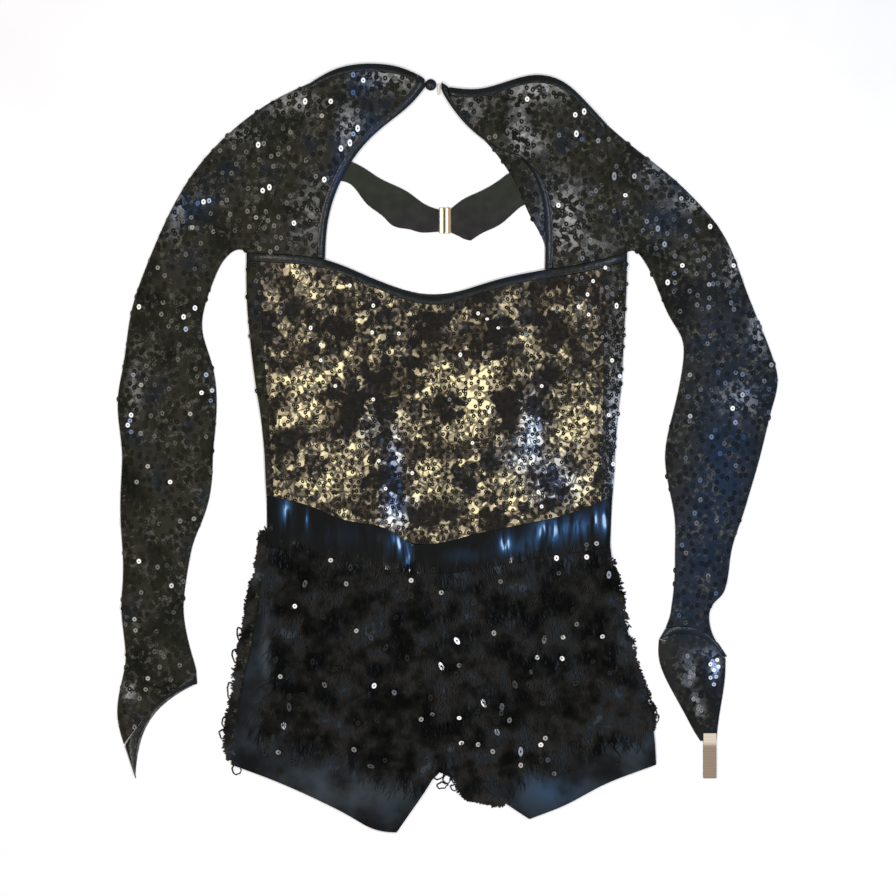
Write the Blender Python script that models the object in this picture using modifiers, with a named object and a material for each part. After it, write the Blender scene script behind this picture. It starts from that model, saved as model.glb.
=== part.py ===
"""A black sequinned dance leotard with short legs and long sleeves, laid flat on its back panels.

Run it with: blender --background --python part.py
The garment lies on z = 0 with the front up. Sizes in the tables are millimetres: x runs across the
garment, to the viewer's right, y runs up it, and (0, 0) is the middle of its outline.
"""

import math
from collections import namedtuple

import bmesh
import bpy
import numpy as np

MM = 0.001

# Cloth and seams
CLOTH = 1.2  # sequinned stretch mesh with its lining
BAND_RISE = 0.4  # how far a folded binding stands over the cloth beside it
BAND_CROWN = 0.7  # and how much further along its middle
SEAM_GAP = 0.3  # daylight between neighbouring pieces
LAYER_GAP = 0.4  # daylight between the back layer and the front layer
ARMHOLE_GAP = 0.3  # daylight between a sleeve and the body
CUFF_GAP = 1.2  # and between a sleeve and its cuff binding, along the sleeve's middle
STRAP = 1.4  # back strap, two plies of plain stretch cloth

# How the front layer stands over the back layer
EDGE_TOP = 2 * CLOTH + LAYER_GAP  # its top along the outline
CROWN = 3.2  # further rise away from the outline
CROWN_REACH = 26.0  # distance over which it rises
TUBE_SIDE = 1.6  # height of a sleeve's folded side

# Widths of the bindings
NECKLINE_BAND = 8.0
KEYHOLE_BAND = 7.0
NECK_BAND = 7.0

Point = namedtuple("Point", "x y")
Side = namedtuple("Side", "y left right")
Ring = namedtuple("Ring", "outer_x outer_y inner_x inner_y bow under_bow", defaults=(0.0, 0.0))
Fold = namedtuple("Fold", "x1 y1 x2 y2 rise spread")

# Side seams of the body, from the underarms to the leg hems
BODY_SIDES = [
    Side(y=176, left=-181, right=161),
    Side(y=134, left=-181, right=160),
    Side(y=100, left=-178, right=158),
    Side(y=58, left=-173, right=156),
    Side(y=15, left=-166, right=151),
    Side(y=-28, left=-164, right=149),
    Side(y=-66, left=-162, right=146),
    Side(y=-90, left=-163, right=146),
    Side(y=-114, left=-167, right=149),
    Side(y=-136, left=-170, right=153),
    Side(y=-179, left=-177, right=166),
    Side(y=-222, left=-187, right=179),
    Side(y=-262, left=-193, right=186),
    Side(y=-284, left=-195, right=187),
]

# Open top edge of the bodice, side to side. The yokes join its two ends.
NECKLINE = [
    Point(-181, 176),
    Point(-144, 174),
    Point(-111, 170),
    Point(-64, 151.5),
    Point(-30, 139),
    Point(-8, 136.5),
    Point(13, 142),
    Point(43, 151.5),
    Point(83, 160),
    Point(117, 165),
    Point(161, 176),
]

# Pointed seam between the sequinned bodice and the waistband
BODICE_SEAM = [
    Point(-163, -42),
    Point(-125, -51),
    Point(-94, -64),
    Point(-55, -71.5),
    Point(-34, -85),
    Point(-8, -85),
    Point(23, -77),
    Point(77, -66),
    Point(104, -60),
    Point(148, -43),
]

# Seam between the waistband and the shorts, under the first row of fringe
WAIST_SEAM = [
    Point(-163, -88),
    Point(-97, -100),
    Point(-28, -112),
    Point(2, -112),
    Point(65, -101),
    Point(146, -88),
]

# Seams between the gold panel and the plain side panels
LEFT_SIDE_SEAM = [Point(-169, 172), Point(-166, 102), Point(-162, 44), Point(-156, -48)]
RIGHT_SIDE_SEAM = [Point(143, 170), Point(140, 107), Point(139, 20), Point(137, -50)]

# Centre front of the shorts, then the inner edge of each leg and its hem
CENTRE_FRONT = [Point(-29, -112), Point(-15, -180), Point(2, -256)]
CROTCH = CENTRE_FRONT[-1]
LEFT_INSEAM = [CROTCH, Point(-10, -292), Point(-33, -326), Point(-46, -345)]
RIGHT_INSEAM = [CROTCH, Point(10, -276), Point(28, -300), Point(54, -321), Point(73, -333)]
LEFT_HEM = [Point(-195, -284), Point(-157, -298), Point(-92, -328), Point(-62, -344), Point(-46, -345)]
RIGHT_HEM = [Point(73, -333), Point(104, -321), Point(140, -302), Point(187, -284)]

# Yokes: the two wings that run from the armholes to the neck fastening
LEFT_NECK_EDGE = [
    Point(-122, 329.5),
    Point(-107, 339),
    Point(-88, 345),
    Point(-66, 346),
    Point(-44, 343.5),
    Point(-27, 336),
    Point(-21, 332),
]
LEFT_KEYHOLE = [
    Point(-110.5, 170),
    Point(-110, 190),
    Point(-107, 212),
    Point(-100, 233),
    Point(-86, 260),
    Point(-64, 285),
    Point(-35, 307),
    Point(-21, 321),
    Point(-21, 332),
]
RIGHT_NECK_EDGE = [
    Point(-6, 329),
    Point(4, 323),
    Point(21, 320.5),
    Point(39, 324),
    Point(63, 334),
    Point(83, 338.5),
    Point(101, 334),
    Point(120, 316),
    Point(142, 292),
]
RIGHT_KEYHOLE = [
    Point(-6, 329),
    Point(-6, 319),
    Point(9, 299),
    Point(33, 275),
    Point(64, 264),
    Point(79, 247),
    Point(86, 221),
    Point(87.5, 198),
    Point(87, 160),
]

# Inner edges of the back wings. The right one shows past the front and carries the strap.
LEFT_BACK_KEYHOLE = [
    Point(-114, 170),
    Point(-113, 196),
    Point(-108, 220),
    Point(-99, 240),
    Point(-88, 261),
    Point(-66, 288),
    Point(-37, 310),
    Point(-24, 322),
    Point(-24, 328),
]
RIGHT_BACK_KEYHOLE = [
    Point(-3, 325),
    Point(-2, 317),
    Point(12, 298),
    Point(36, 274),
    Point(51, 258),
    Point(55, 248),
    Point(70, 221),
    Point(75, 203),
    Point(86, 191),
    Point(90, 163),
]
BACK_NECK_DROP = 4.0  # the back wings' neck edges lie a little below the front ones
BACK_YOKE_START = 0.012  # and their lower edges this share above the neckline

# Armhole seams: lines between their ends that bow by a share of their length
LEFT_ARMHOLE = [Point(-122, 329.5), Point(-181, 176)]
RIGHT_ARMHOLE = [Point(142, 292), Point(161, 176)]
ARMHOLE_BOW = 0.04

# Sleeves, from the armhole seam to the cuff. The outer side continues the shoulder.
LEFT_SLEEVE = [
    Ring(-122, 329.5, -181.8, 177, 0.04, 0.04),
    Ring(-150, 318, -185.5, 179, 0.03, 0.03),
    Ring(-183, 296, -189.5, 179, 0.01, 0.01),
    Ring(-207, 275, -194, 177),
    Ring(-226, 253, -197.5, 174),
    Ring(-241, 231, -200.5, 170.5),
    Ring(-254, 205, -204, 166),
    Ring(-266, 177, -208, 158),
    Ring(-277, 149, -213, 145),
    Ring(-286, 120, -221, 121),
    Ring(-289, 95, -222, 104),
    Ring(-291, 78, -214, 84),
    Ring(-297, 50, -208, 56),
    Ring(-297, 28, -208, 28),
    Ring(-292.5, -2, -211.5, -2),
    Ring(-294, -30, -212, -30),
    Ring(-295, -56, -217, -57),
    Ring(-293.5, -80, -229, -82),
    Ring(-291.5, -110, -234, -110),
    Ring(-294.5, -148, -238.5, -147),
    Ring(-290, -177, -234, -171),
    Ring(-289.5, -192, -231, -183),
    Ring(-293, -208, -228.5, -191, 0.01, 0.01),
    Ring(-296.5, -224, -227, -196.5, 0.03, 0.03),
    Ring(-298, -240, -226.3, -200, 0.05, 0.05),
    Ring(-295.5, -254, -226, -202, 0.06, 0.06),
]
LEFT_CUFF = [Ring(-291, -267, -226, -203.5, 0.07, 0.07), Ring(-281, -297, -225.3, -211, 0.2, 0.2)]

RIGHT_SLEEVE = [
    Ring(142, 292, 161.8, 177, -0.04, -0.04),
    Ring(160, 275.5, 166, 178.5, -0.03, -0.03),
    Ring(184, 258, 170.5, 176.5, -0.01, -0.01),
    Ring(209, 237.5, 175.5, 170),
    Ring(230.5, 215, 181, 161),
    Ring(247, 195, 186.5, 149),
    Ring(258, 171, 192, 135),
    Ring(266.5, 146, 197.5, 121),
    Ring(275.5, 123, 205, 109),
    Ring(285, 101, 211.5, 98),
    Ring(293, 79, 212.5, 85),
    Ring(298, 62, 210.5, 70),
    Ring(292, 40, 206, 46),
    Ring(286, 15, 198, 15),
    Ring(280, -10, 194.5, -8),
    Ring(272, -37, 199, -37),
    Ring(264, -64, 204.5, -64),
    Ring(254.5, -90, 204, -90),
    Ring(252, -116, 204, -116),
    Ring(247, -132, 202, -135),
    Ring(236, -142, 200.7, -143.5),
    Ring(234.3, -148.5, 200.3, -148, -0.02, 0.0),
    Ring(234.8, -156, 199.3, -151.8, -0.05, 0.0),
    Ring(236, -163.5, 198, -155.5, -0.09, 0.0),
    Ring(239.5, -171, 196.8, -158.5, -0.13, 0.0),
]
# The palm side of the right cuff is cut back in an arc, so the far side's inside shows
RIGHT_CUFF = [Ring(243, -177, 195.5, -161.5, -0.17, 0.0), Ring(249.5, -188, 190, -171, -0.2, 0.0)]

# Point over the back of the right hand, seen from its inside
POINT_LEFT = [
    Point(190, -171),
    Point(187.4, -180),
    Point(188, -190),
    Point(198, -212),
    Point(210.6, -233.6),
    Point(221.4, -255),
    Point(227, -263),
]
POINT_RIGHT = [Point(249.5, -188), Point(249.5, -204), Point(247, -222), Point(243, -245), Point(241.5, -263)]
POINT_EDGE = 0.5  # its bound edges stand this much over its middle

# Back strap, from each back wing to the clasp. Its lower edge is rolled and puckered.
LEFT_STRAP_TOP = [
    Point(-88.5, 259),
    Point(-76, 253),
    Point(-63, 244),
    Point(-36, 231),
    Point(-18, 218),
    Point(-8.3, 215),
]
LEFT_STRAP_BOTTOM = [
    Point(-98, 241),
    Point(-88, 239),
    Point(-79, 227),
    Point(-70, 216.5),
    Point(-64, 213),
    Point(-56, 207),
    Point(-50, 199),
    Point(-36, 198),
    Point(-20, 193),
    Point(-14, 195.5),
    Point(-8.3, 195),
]
RIGHT_STRAP_TOP = [Point(2.8, 216), Point(13, 224), Point(29, 231.5), Point(41, 238), Point(53.4, 247.0)]
RIGHT_STRAP_BOTTOM = [
    Point(2.8, 194),
    Point(10, 191),
    Point(18, 186.5),
    Point(29, 193),
    Point(48, 202),
    Point(58, 211),
    Point(68.4, 220.2),
]
STRAP_FOLDS = [
    Fold(-88, 252, -66, 216, 0.7, 5),
    Fold(-52, 238, -48, 202, 0.5, 5),
    Fold(-22, 216, -8, 206, 0.8, 4),
    Fold(4, 206, 24, 212, 0.8, 4),
    Fold(20, 190, 56, 230, 0.5, 6),
]

# Largest folds of the front layer. A negative rise is a trough.
FOLDS = [
    Fold(-143, -40, -145, -90, 1.6, 8),
    Fold(-122, -50, -120, -96, 1.4, 7),
    Fold(-50, -66, -40, -108, 1.7, 8),
    Fold(-26, -86, -26, -112, -1.2, 6),
    Fold(49, -72, 58, -104, 1.6, 8),
    Fold(101, -58, 104, -96, 1.3, 8),
    Fold(134, -38, 136, -90, 1.4, 7),
    Fold(-46, 10, -40, -72, -1.1, 11),
    Fold(82, 60, 78, -58, -1.1, 12),
    Fold(-20, 66, 18, 8, -0.9, 11),
    Fold(-120, 120, -96, 20, 0.9, 16),
    Fold(20, 110, 66, 40, 0.9, 16),
    Fold(-162, -128, -172, -190, 1.8, 9),
    Fold(-172, -190, -166, -270, 1.7, 10),
    Fold(-100, -130, -84, -250, 1.0, 14),
    Fold(-4, -258, -30, -310, 1.8, 8),
    Fold(50, -130, 96, -220, 1.0, 14),
    Fold(150, -160, 176, -250, 1.4, 11),
    Fold(84, -270, 112, -306, 1.5, 10),
    Fold(-60, -262, -70, -320, 1.0, 12),
    Fold(-130, 300, -176, 214, 1.0, 12),
    Fold(-98, 300, -140, 220, 0.9, 14),
    Fold(84, 262, 150, 214, -1.2, 10),
    Fold(70, 300, 112, 306, 1.0, 12),
    Fold(-244, 196, -262, 96, 1.0, 14),
    Fold(-276, 40, -226, 22, 0.9, 12),
    Fold(-284, -62, -236, -74, 1.0, 10),
    Fold(-282, -120, -246, -128, -0.8, 9),
    Fold(-284, -170, -242, -176, 0.8, 9),
    Fold(212, 108, 284, 84, 1.5, 9),
    Fold(214, 92, 294, 60, -1.5, 9),
    Fold(222, 70, 262, 0, 0.9, 15),
    Fold(206, -10, 262, -30, 0.9, 10),
    Fold(214, -88, 246, -96, -0.8, 9),
    Fold(176, 196, 240, 172, 0.9, 12),
]

# Fringe. A row hangs from a tape, and its locks part below it.
FringeRow = namedtuple("FringeRow", "drop left_from right_to")
FRINGE_ROWS = [
    FringeRow(drop=0.02, left_from=0.10, right_to=0.97),
    FringeRow(drop=0.23, left_from=0.13, right_to=0.96),
    FringeRow(drop=0.44, left_from=0.16, right_to=0.96),
    FringeRow(drop=0.65, left_from=0.16, right_to=0.96),
]
ROW_LOCKS = 12  # locks of a row on each leg
TAPE = 4.0  # width of the tape
LOCK_LENGTH = 32.0
LOCK_STEPS = 2
LOCK_TIP = 0.4  # share of a lock's width left at its end
FRINGE_THICK = 1.4
FRINGE_LIFT = 0.4  # daylight under it
FRINGE_REACH = 5.0  # it clears everything this near
LOCK_SWAY = [3.0, -2.0, 5.0, -4.0, 1.5, -5.5, 4.0]  # sideways swing of the locks' ends, in turn
LOCK_TRIM = [1.0, 0.86, 1.08, 0.8, 0.95, 1.12, 0.9]  # their lengths, in turn

# Fringe of the back, which shows past the left side seam and between the legs
BACK_FRINGE_GAP = 0.7  # between its tape and the panel beside it
SIDE_FRINGE_TOP, SIDE_FRINGE_END = -124.0, -274.0
SIDE_FRINGE_HANG = (-0.75, -0.66)
SIDE_FRINGE_LOCKS, SIDE_FRINGE_LENGTH = 12, 12.0
CROTCH_FRINGE_FROM, CROTCH_FRINGE_TO = 0.1, 0.62  # shares of the right leg's inner edge
CROTCH_FRINGE_HANG = (-0.35, -0.94)
CROTCH_FRINGE_LOCKS, CROTCH_FRINGE_LENGTH = 7, 15.0

# Clasp of the back strap
CLASP_Y = 205.0
CLASP_LEFT, CLASP_MIDDLE, CLASP_RIGHT = -7.9, -2.75, 2.4
CLASP_TALL = 23.0
CLASP_THICK = 2.8
CLASP_BEVEL = 0.7

# Neck fastening: a covered knob on the left wing and a clear loop beside it
KNOB = Point(-15.5, 327.0)
KNOB_RADIUS = 5.2
KNOB_THICK = 4.0
KNOB_CUT = 0.8  # its underside is flat from this share of its radius
LOOP = Point(-8.4, 323.0)
LOOP_WIDTH, LOOP_TALL, LOOP_THICK = 2.6, 10.0, 1.6

# Finger loop of elastic, folded double at the point of the right cuff
ELASTIC = 1.1
ELASTIC_X, ELASTIC_WIDTH = 235.4, 11.6
ELASTIC_TOP, ELASTIC_END = -256.0, -296.5

CURVE_SAMPLES = 240
CHORD_FLOOR = 1e-6
SETTLE = 6  # rounds in which the widths of bindings settle


def smooth(points, count=CURVE_SAMPLES):
    """Evenly spaced places on one smooth curve through a few points."""
    given = np.array(points, float)
    if len(given) == 2:
        share = np.linspace(0, 1, count)[:, None]
        return given[0] + (given[1] - given[0]) * share
    chords = np.maximum(np.linalg.norm(np.diff(given, axis=0), axis=1), CHORD_FLOOR)
    knots = np.concatenate([[0], np.cumsum(chords)])
    slopes = np.diff(given, axis=0) / chords[:, None]
    tangents = np.empty_like(given)
    tangents[0], tangents[-1] = slopes[0], slopes[-1]
    before, after = chords[:-1, None], chords[1:, None]
    tangents[1:-1] = (slopes[:-1] * after + slopes[1:] * before) / (before + after)
    at = np.linspace(0, knots[-1], 8 * count)
    k = np.clip(np.searchsorted(knots, at, side="right") - 1, 0, len(chords) - 1)
    span = chords[k][:, None]
    t = ((at - knots[k]) / chords[k])[:, None]
    fine = (
        given[k] * (1 + 2 * t) * (1 - t) ** 2
        + tangents[k] * span * t * (1 - t) ** 2
        + given[k + 1] * t * t * (3 - 2 * t)
        - tangents[k + 1] * span * t * t * (1 - t)
    )
    return evenly(fine, count)


def evenly(curve, count=CURVE_SAMPLES):
    """The same curve with its places evenly spaced along it."""
    along = np.concatenate([[0], np.cumsum(np.linalg.norm(np.diff(curve, axis=0), axis=1))])
    even = np.linspace(0, along[-1], count)
    return np.stack([np.interp(even, along, curve[:, axis]) for axis in range(curve.shape[1])], axis=1)


def at_share(curve, share):
    """Places at shares, from 0 to 1, of a curve's length."""
    stops = np.linspace(0, 1, len(curve))
    return np.stack([np.interp(share, stops, curve[:, axis]) for axis in range(curve.shape[1])], axis=-1)


def stretch(curve, x_from, x_to):
    """The part of a curve that runs across the garment between two values of x."""
    x = np.linspace(x_from, x_to, CURVE_SAMPLES)
    return np.stack([x, np.interp(x, curve[:, 0], curve[:, 1])], axis=1)


def body_side(which, y_from, y_to):
    """A side seam of the body between two heights."""
    rows = smooth([(side.y, getattr(side, which)) for side in BODY_SIDES])[::-1]
    y = np.linspace(y_from, y_to, CURVE_SAMPLES)
    return np.stack([np.interp(y, rows[:, 0], rows[:, 1]), y], axis=1)


def bowed(start, end, bow, share):
    """Places on a line from start to end that bows to the left of its way by a share of its length."""
    start, end = np.array(start, float), np.array(end, float)
    chord = end - start
    normal = np.array([-chord[1], chord[0]])
    return start + chord * share[:, None] + normal * (bow * 4 * share * (1 - share))[:, None]


def between(low, high, share):
    return low + (high - low) * share


def stations(breaks, counts):
    """Shares with each stretch between two breaks split into its own count."""
    parts = [np.linspace(a, b, n + 1)[:-1] for a, b, n in zip(breaks, breaks[1:], counts)]
    return np.concatenate(parts + [[breaks[-1]]])


class Region:
    """A four-sided piece of the pattern. u runs across it from left to right, and v up it."""

    def __init__(self, bottom, top, left, right):
        self.bottom, self.top = bottom, top
        self.left, self.right = left.copy(), right.copy()
        self.left[0], self.left[-1] = bottom[0], top[0]
        self.right[0], self.right[-1] = bottom[-1], top[-1]

    def place(self, u, v):
        u_, v_ = u[..., None], v[..., None]
        sides = (
            (1 - v_) * at_share(self.bottom, u)
            + v_ * at_share(self.top, u)
            + (1 - u_) * at_share(self.left, v)
            + u_ * at_share(self.right, v)
        )
        corners = (
            (1 - u_) * (1 - v_) * self.bottom[0]
            + u_ * (1 - v_) * self.bottom[-1]
            + (1 - u_) * v_ * self.top[0]
            + u_ * v_ * self.top[-1]
        )
        return sides - corners

    def width(self, v):
        """Its width at v."""
        return np.linalg.norm(self.place(0 * v + 1, v) - self.place(0 * v, v), axis=-1)

    def height(self, u):
        """Its height at u."""
        return np.linalg.norm(self.place(u, 0 * u + 1) - self.place(u, 0 * u), axis=-1)


NECKLINE_CURVE = smooth(NECKLINE)
BODICE_SEAM_CURVE = smooth(BODICE_SEAM)
WAIST_CURVE = smooth(WAIST_SEAM)


def trunk_region(low_curve, low, high_curve, high):
    """The part of the trunk between two seams that run side to side."""
    left = body_side("left", low[0].y, high[0].y)
    right = body_side("right", low[-1].y, high[-1].y)
    bottom = stretch(low_curve, left[0, 0], right[0, 0])
    top = stretch(high_curve, left[-1, 0], right[-1, 0])
    return Region(bottom, top, left, right)


BODICE = trunk_region(BODICE_SEAM_CURVE, BODICE_SEAM, NECKLINE_CURVE, NECKLINE)
WAIST = trunk_region(WAIST_CURVE, WAIST_SEAM, BODICE_SEAM_CURVE, BODICE_SEAM)


def leg_region(which):
    """One leg of the shorts. Its inner side turns a corner at the crotch."""
    inseam = LEFT_INSEAM if which == "left" else RIGHT_INSEAM
    inner = evenly(np.concatenate([smooth(CENTRE_FRONT), smooth(inseam)[1:]]))[::-1]
    if which == "left":
        outer = body_side("left", LEFT_HEM[0].y, WAIST_SEAM[0].y)
        return Region(smooth(LEFT_HEM), stretch(WAIST_CURVE, outer[-1, 0], CENTRE_FRONT[0].x), outer, inner)
    outer = body_side("right", RIGHT_HEM[-1].y, WAIST_SEAM[-1].y)
    return Region(smooth(RIGHT_HEM), stretch(WAIST_CURVE, CENTRE_FRONT[0].x, outer[-1, 0]), inner, outer)


LEGS = {"left": leg_region("left"), "right": leg_region("right")}


def yoke_region(which, keyhole, neck):
    share = np.linspace(0, 1, CURVE_SAMPLES)
    if which == "left":
        inner = smooth(keyhole)
        armhole = bowed(*LEFT_ARMHOLE, ARMHOLE_BOW, share)[::-1]
        bottom = stretch(NECKLINE_CURVE, NECKLINE[0].x, inner[0, 0])
        return Region(bottom, smooth(neck), armhole, inner)
    inner = smooth(keyhole)[::-1]
    armhole = bowed(*RIGHT_ARMHOLE, -ARMHOLE_BOW, share)[::-1]
    bottom = stretch(NECKLINE_CURVE, inner[0, 0], NECKLINE[-1].x)
    return Region(bottom, smooth(neck), inner, armhole)


def lowered(points):
    return [Point(point.x, point.y - BACK_NECK_DROP) for point in points]


LEFT_BACK_NECK = lowered(LEFT_NECK_EDGE[:-1]) + LEFT_BACK_KEYHOLE[-1:]
RIGHT_BACK_NECK = RIGHT_BACK_KEYHOLE[:1] + lowered(RIGHT_NECK_EDGE[1:])
YOKES = {
    "left": yoke_region("left", LEFT_KEYHOLE, LEFT_NECK_EDGE),
    "right": yoke_region("right", RIGHT_KEYHOLE, RIGHT_NECK_EDGE),
}
BACK_YOKES = {
    "left": yoke_region("left", LEFT_BACK_KEYHOLE, LEFT_BACK_NECK),
    "right": yoke_region("right", RIGHT_BACK_KEYHOLE, RIGHT_BACK_NECK),
}


class Tube:
    """A flattened sleeve: its two folded sides and how each ring bows between them."""

    def __init__(self, rings):
        rows = np.array(rings, float)
        middles = (rows[:, :2] + rows[:, 2:4]) / 2
        knots = np.concatenate([[0], np.cumsum(np.linalg.norm(np.diff(middles, axis=0), axis=1))])
        self.length = knots[-1]
        self.ring_share = knots / knots[-1]
        even = np.linspace(0, self.length, CURVE_SAMPLES)
        columns = []
        for column in range(rows.shape[1]):
            curve = smooth(np.stack([knots, rows[:, column]], axis=1))
            columns.append(np.interp(even, curve[:, 0], curve[:, 1]))
        self.rows = np.stack(columns, axis=1)

    def ring(self, share, round_share, under=False):
        """Places round one ring, from its outer side to its inner side."""
        row = at_share(self.rows, np.array(share))
        return bowed(row[:2], row[2:4], row[5] if under else row[4], round_share)


SLEEVES = {"left": Tube(LEFT_SLEEVE + LEFT_CUFF), "right": Tube(RIGHT_SLEEVE + RIGHT_CUFF)}


def garment_outline():
    """Every edge of the laid garment, as places close together."""
    share = np.linspace(0, 1, CURVE_SAMPLES // 4)
    pieces = [
        body_side("left", LEFT_HEM[0].y, NECKLINE[0].y),
        body_side("right", RIGHT_HEM[-1].y, NECKLINE[-1].y),
        stretch(NECKLINE_CURVE, LEFT_KEYHOLE[0].x, RIGHT_KEYHOLE[-1].x),
        smooth(LEFT_NECK_EDGE),
        smooth(RIGHT_NECK_EDGE),
        smooth(LEFT_KEYHOLE),
        smooth(RIGHT_KEYHOLE),
        smooth(LEFT_INSEAM),
        smooth(RIGHT_INSEAM),
        smooth(LEFT_HEM),
        smooth(RIGHT_HEM),
    ]
    for tube in SLEEVES.values():
        pieces += [tube.rows[:, :2], tube.rows[:, 2:4], tube.ring(1.0, share)]
    return np.concatenate(pieces)


OUTLINE = garment_outline()


def outline_distance(places):
    """How far each place is from the nearest edge of the garment."""
    flat = places.reshape(-1, 2)
    gaps = np.linalg.norm(flat[:, None, :] - OUTLINE[None, :, :], axis=2)
    return gaps.min(axis=1).reshape(places.shape[:-1])


def fold_height(places, folds):
    """What the folds add to a layer."""
    total = np.zeros(places.shape[:-1])
    for fold in folds:
        start = np.array([fold.x1, fold.y1])
        run = np.array([fold.x2, fold.y2]) - start
        share = np.clip(((places - start) @ run) / (run @ run), 0, 1)
        away = np.linalg.norm(places - start - share[..., None] * run, axis=-1)
        total += fold.rise * np.exp(-((away / fold.spread) ** 2))
    return total


def front_top(places):
    """Height of the front layer's outer surface."""
    share = np.clip(outline_distance(places) / CROWN_REACH, 0, 1)
    round_over = np.sqrt(1 - (1 - share) ** 2)
    return EDGE_TOP + round_over * (CROWN + fold_height(places, FOLDS))


def steepness(places):
    """How much longer the front layer's surface is than its plan."""
    step = 1.0
    dx, dy = np.array([step, 0.0]), np.array([0.0, step])
    slope_x = (front_top(places + dx) - front_top(places - dx)) / (2 * step)
    slope_y = (front_top(places + dy) - front_top(places - dy)) / (2 * step)
    return np.sqrt(1 + np.clip(slope_x**2 + slope_y**2, 0, 0.5))


def keep_seam_gap(places, open_sides):
    """Moves the edges of a grid of places in by half a seam gap, apart from the open ones."""
    moved = places.copy()
    edges = {
        "left": (np.s_[:, 0], np.s_[:, 1]),
        "right": (np.s_[:, -1], np.s_[:, -2]),
        "bottom": (np.s_[0, :], np.s_[1, :]),
        "top": (np.s_[-1, :], np.s_[-2, :]),
    }
    for side, (edge, neighbour) in edges.items():
        if side not in open_sides:
            way = places[neighbour] - places[edge]
            moved[edge] += SEAM_GAP / 2 * way / np.linalg.norm(way, axis=-1, keepdims=True)
    return moved


def add_object(name, body, material):
    """The finished mesh as an object of the garment's collection."""
    mesh = bpy.data.meshes.new(name)
    body.to_mesh(mesh)
    body.free()
    mesh.shade_smooth()
    mesh.materials.append(material)
    thing = bpy.data.objects.new(name, mesh)
    GARMENT.objects.link(thing)
    return thing


def add_wall(thing, thickness):
    """Gives an open surface its thickness, inwards."""
    wall = thing.modifiers.new("Wall", "SOLIDIFY")
    wall.thickness = thickness * MM
    wall.offset = -1


def slab(name, places, top, under, material):
    """A closed wall of cloth over a grid of places, between two sets of heights."""
    rows, columns = places.shape[:2]
    body = bmesh.new()
    bmesh.ops.create_grid(body, x_segments=columns - 1, y_segments=rows - 1, size=0.5)
    made = bmesh.ops.extrude_face_region(body, geom=body.faces[:], use_keep_orig=True)["geom"]
    lower = {part for part in made if isinstance(part, bmesh.types.BMVert)}
    for vert in body.verts:
        column = round((vert.co.x + 0.5) * (columns - 1))
        row = round((vert.co.y + 0.5) * (rows - 1))
        x, y = places[row, column]
        z = (under if vert in lower else top)[row, column]
        vert.co = (x * MM, y * MM, z * MM)
    bmesh.ops.recalc_face_normals(body, faces=body.faces)
    return add_object(name, body, material)


def front_cloth(name, places, material, open_sides=()):
    """A panel of the front layer."""
    places = keep_seam_gap(places, open_sides)
    top = front_top(places)
    under = np.maximum(top - CLOTH * steepness(places), EDGE_TOP - CLOTH)
    return slab(name, places, top, under, material)


def front_band(name, places, material, across, open_sides=()):
    """A folded binding of the front layer. across is the grid's axis over its width."""
    share = np.linspace(0, 1, places.shape[across])
    crown = BAND_CROWN * 4 * share * (1 - share)
    crown = crown[None, :] if across == 1 else crown[:, None]
    places = keep_seam_gap(places, open_sides)
    level = front_top(places)
    under = np.maximum(level - CLOTH * steepness(places), EDGE_TOP - CLOTH)
    return slab(name, places, level + BAND_RISE + crown, under, material)


def back_cloth(name, places, material, thickness=CLOTH, folds=(), open_sides=()):
    """A panel of the back layer, flat on the floor."""
    places = keep_seam_gap(places, open_sides)
    level = np.full(places.shape[:2], thickness) + fold_height(places, folds)
    return slab(name, places, level, 0 * level, material)


def seam_share(region, seam, v):
    """Where a lengthwise seam crosses a region at v, as a share of its width."""
    low, high = region.place(0 * v, v), region.place(0 * v + 1, v)
    curve = smooth(seam)[::-1]
    x = np.interp((low[..., 1] + high[..., 1]) / 2, curve[:, 1], curve[:, 0])
    return (x - low[..., 0]) / (high[..., 0] - low[..., 0])


def follow_seams(u_low, v):
    """Carries shares at the bottom of the bodice up to v, so that they keep to its side seams."""
    low_left, low_right = seam_share(BODICE, LEFT_SIDE_SEAM, 0 * v), seam_share(BODICE, RIGHT_SIDE_SEAM, 0 * v)
    left, right = seam_share(BODICE, LEFT_SIDE_SEAM, v), seam_share(BODICE, RIGHT_SIDE_SEAM, v)
    inside = left + (u_low - low_left) / (low_right - low_left) * (right - left)
    outside = right + (u_low - low_right) / (1 - low_right) * (1 - right)
    return np.where(u_low < low_left, u_low / low_left * left, np.where(u_low > low_right, outside, inside))


NOUGHT = np.zeros(1)
SIDE_COLUMNS, LEFT_COLUMNS, RIGHT_COLUMNS = 2, 12, 14
COLUMNS = 2 * SIDE_COLUMNS + LEFT_COLUMNS + RIGHT_COLUMNS
SPLIT = SIDE_COLUMNS + LEFT_COLUMNS
BODY_STATIONS = stations(
    [
        0.0,
        float(seam_share(BODICE, LEFT_SIDE_SEAM, NOUGHT)[0]),
        (CENTRE_FRONT[0].x - BODICE.bottom[0, 0]) / (BODICE.bottom[-1, 0] - BODICE.bottom[0, 0]),
        float(seam_share(BODICE, RIGHT_SIDE_SEAM, NOUGHT)[0]),
        1.0,
    ],
    [SIDE_COLUMNS, LEFT_COLUMNS, RIGHT_COLUMNS, SIDE_COLUMNS],
)
YOKE_COLUMNS, YOKE_ROWS, BAND_CELLS = 6, 9, 2
BODICE_ROWS, WAIST_ROWS, LEG_ROWS = 11, 4, 10


def yoke_columns(which, band):
    """Shares of a yoke's columns, with those of its keyhole binding along the inner edge."""
    if which == "left":
        return stations([0, 1 - band, 1], [YOKE_COLUMNS, BAND_CELLS])
    return stations([0, band, 1], [BAND_CELLS, YOKE_COLUMNS])


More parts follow.
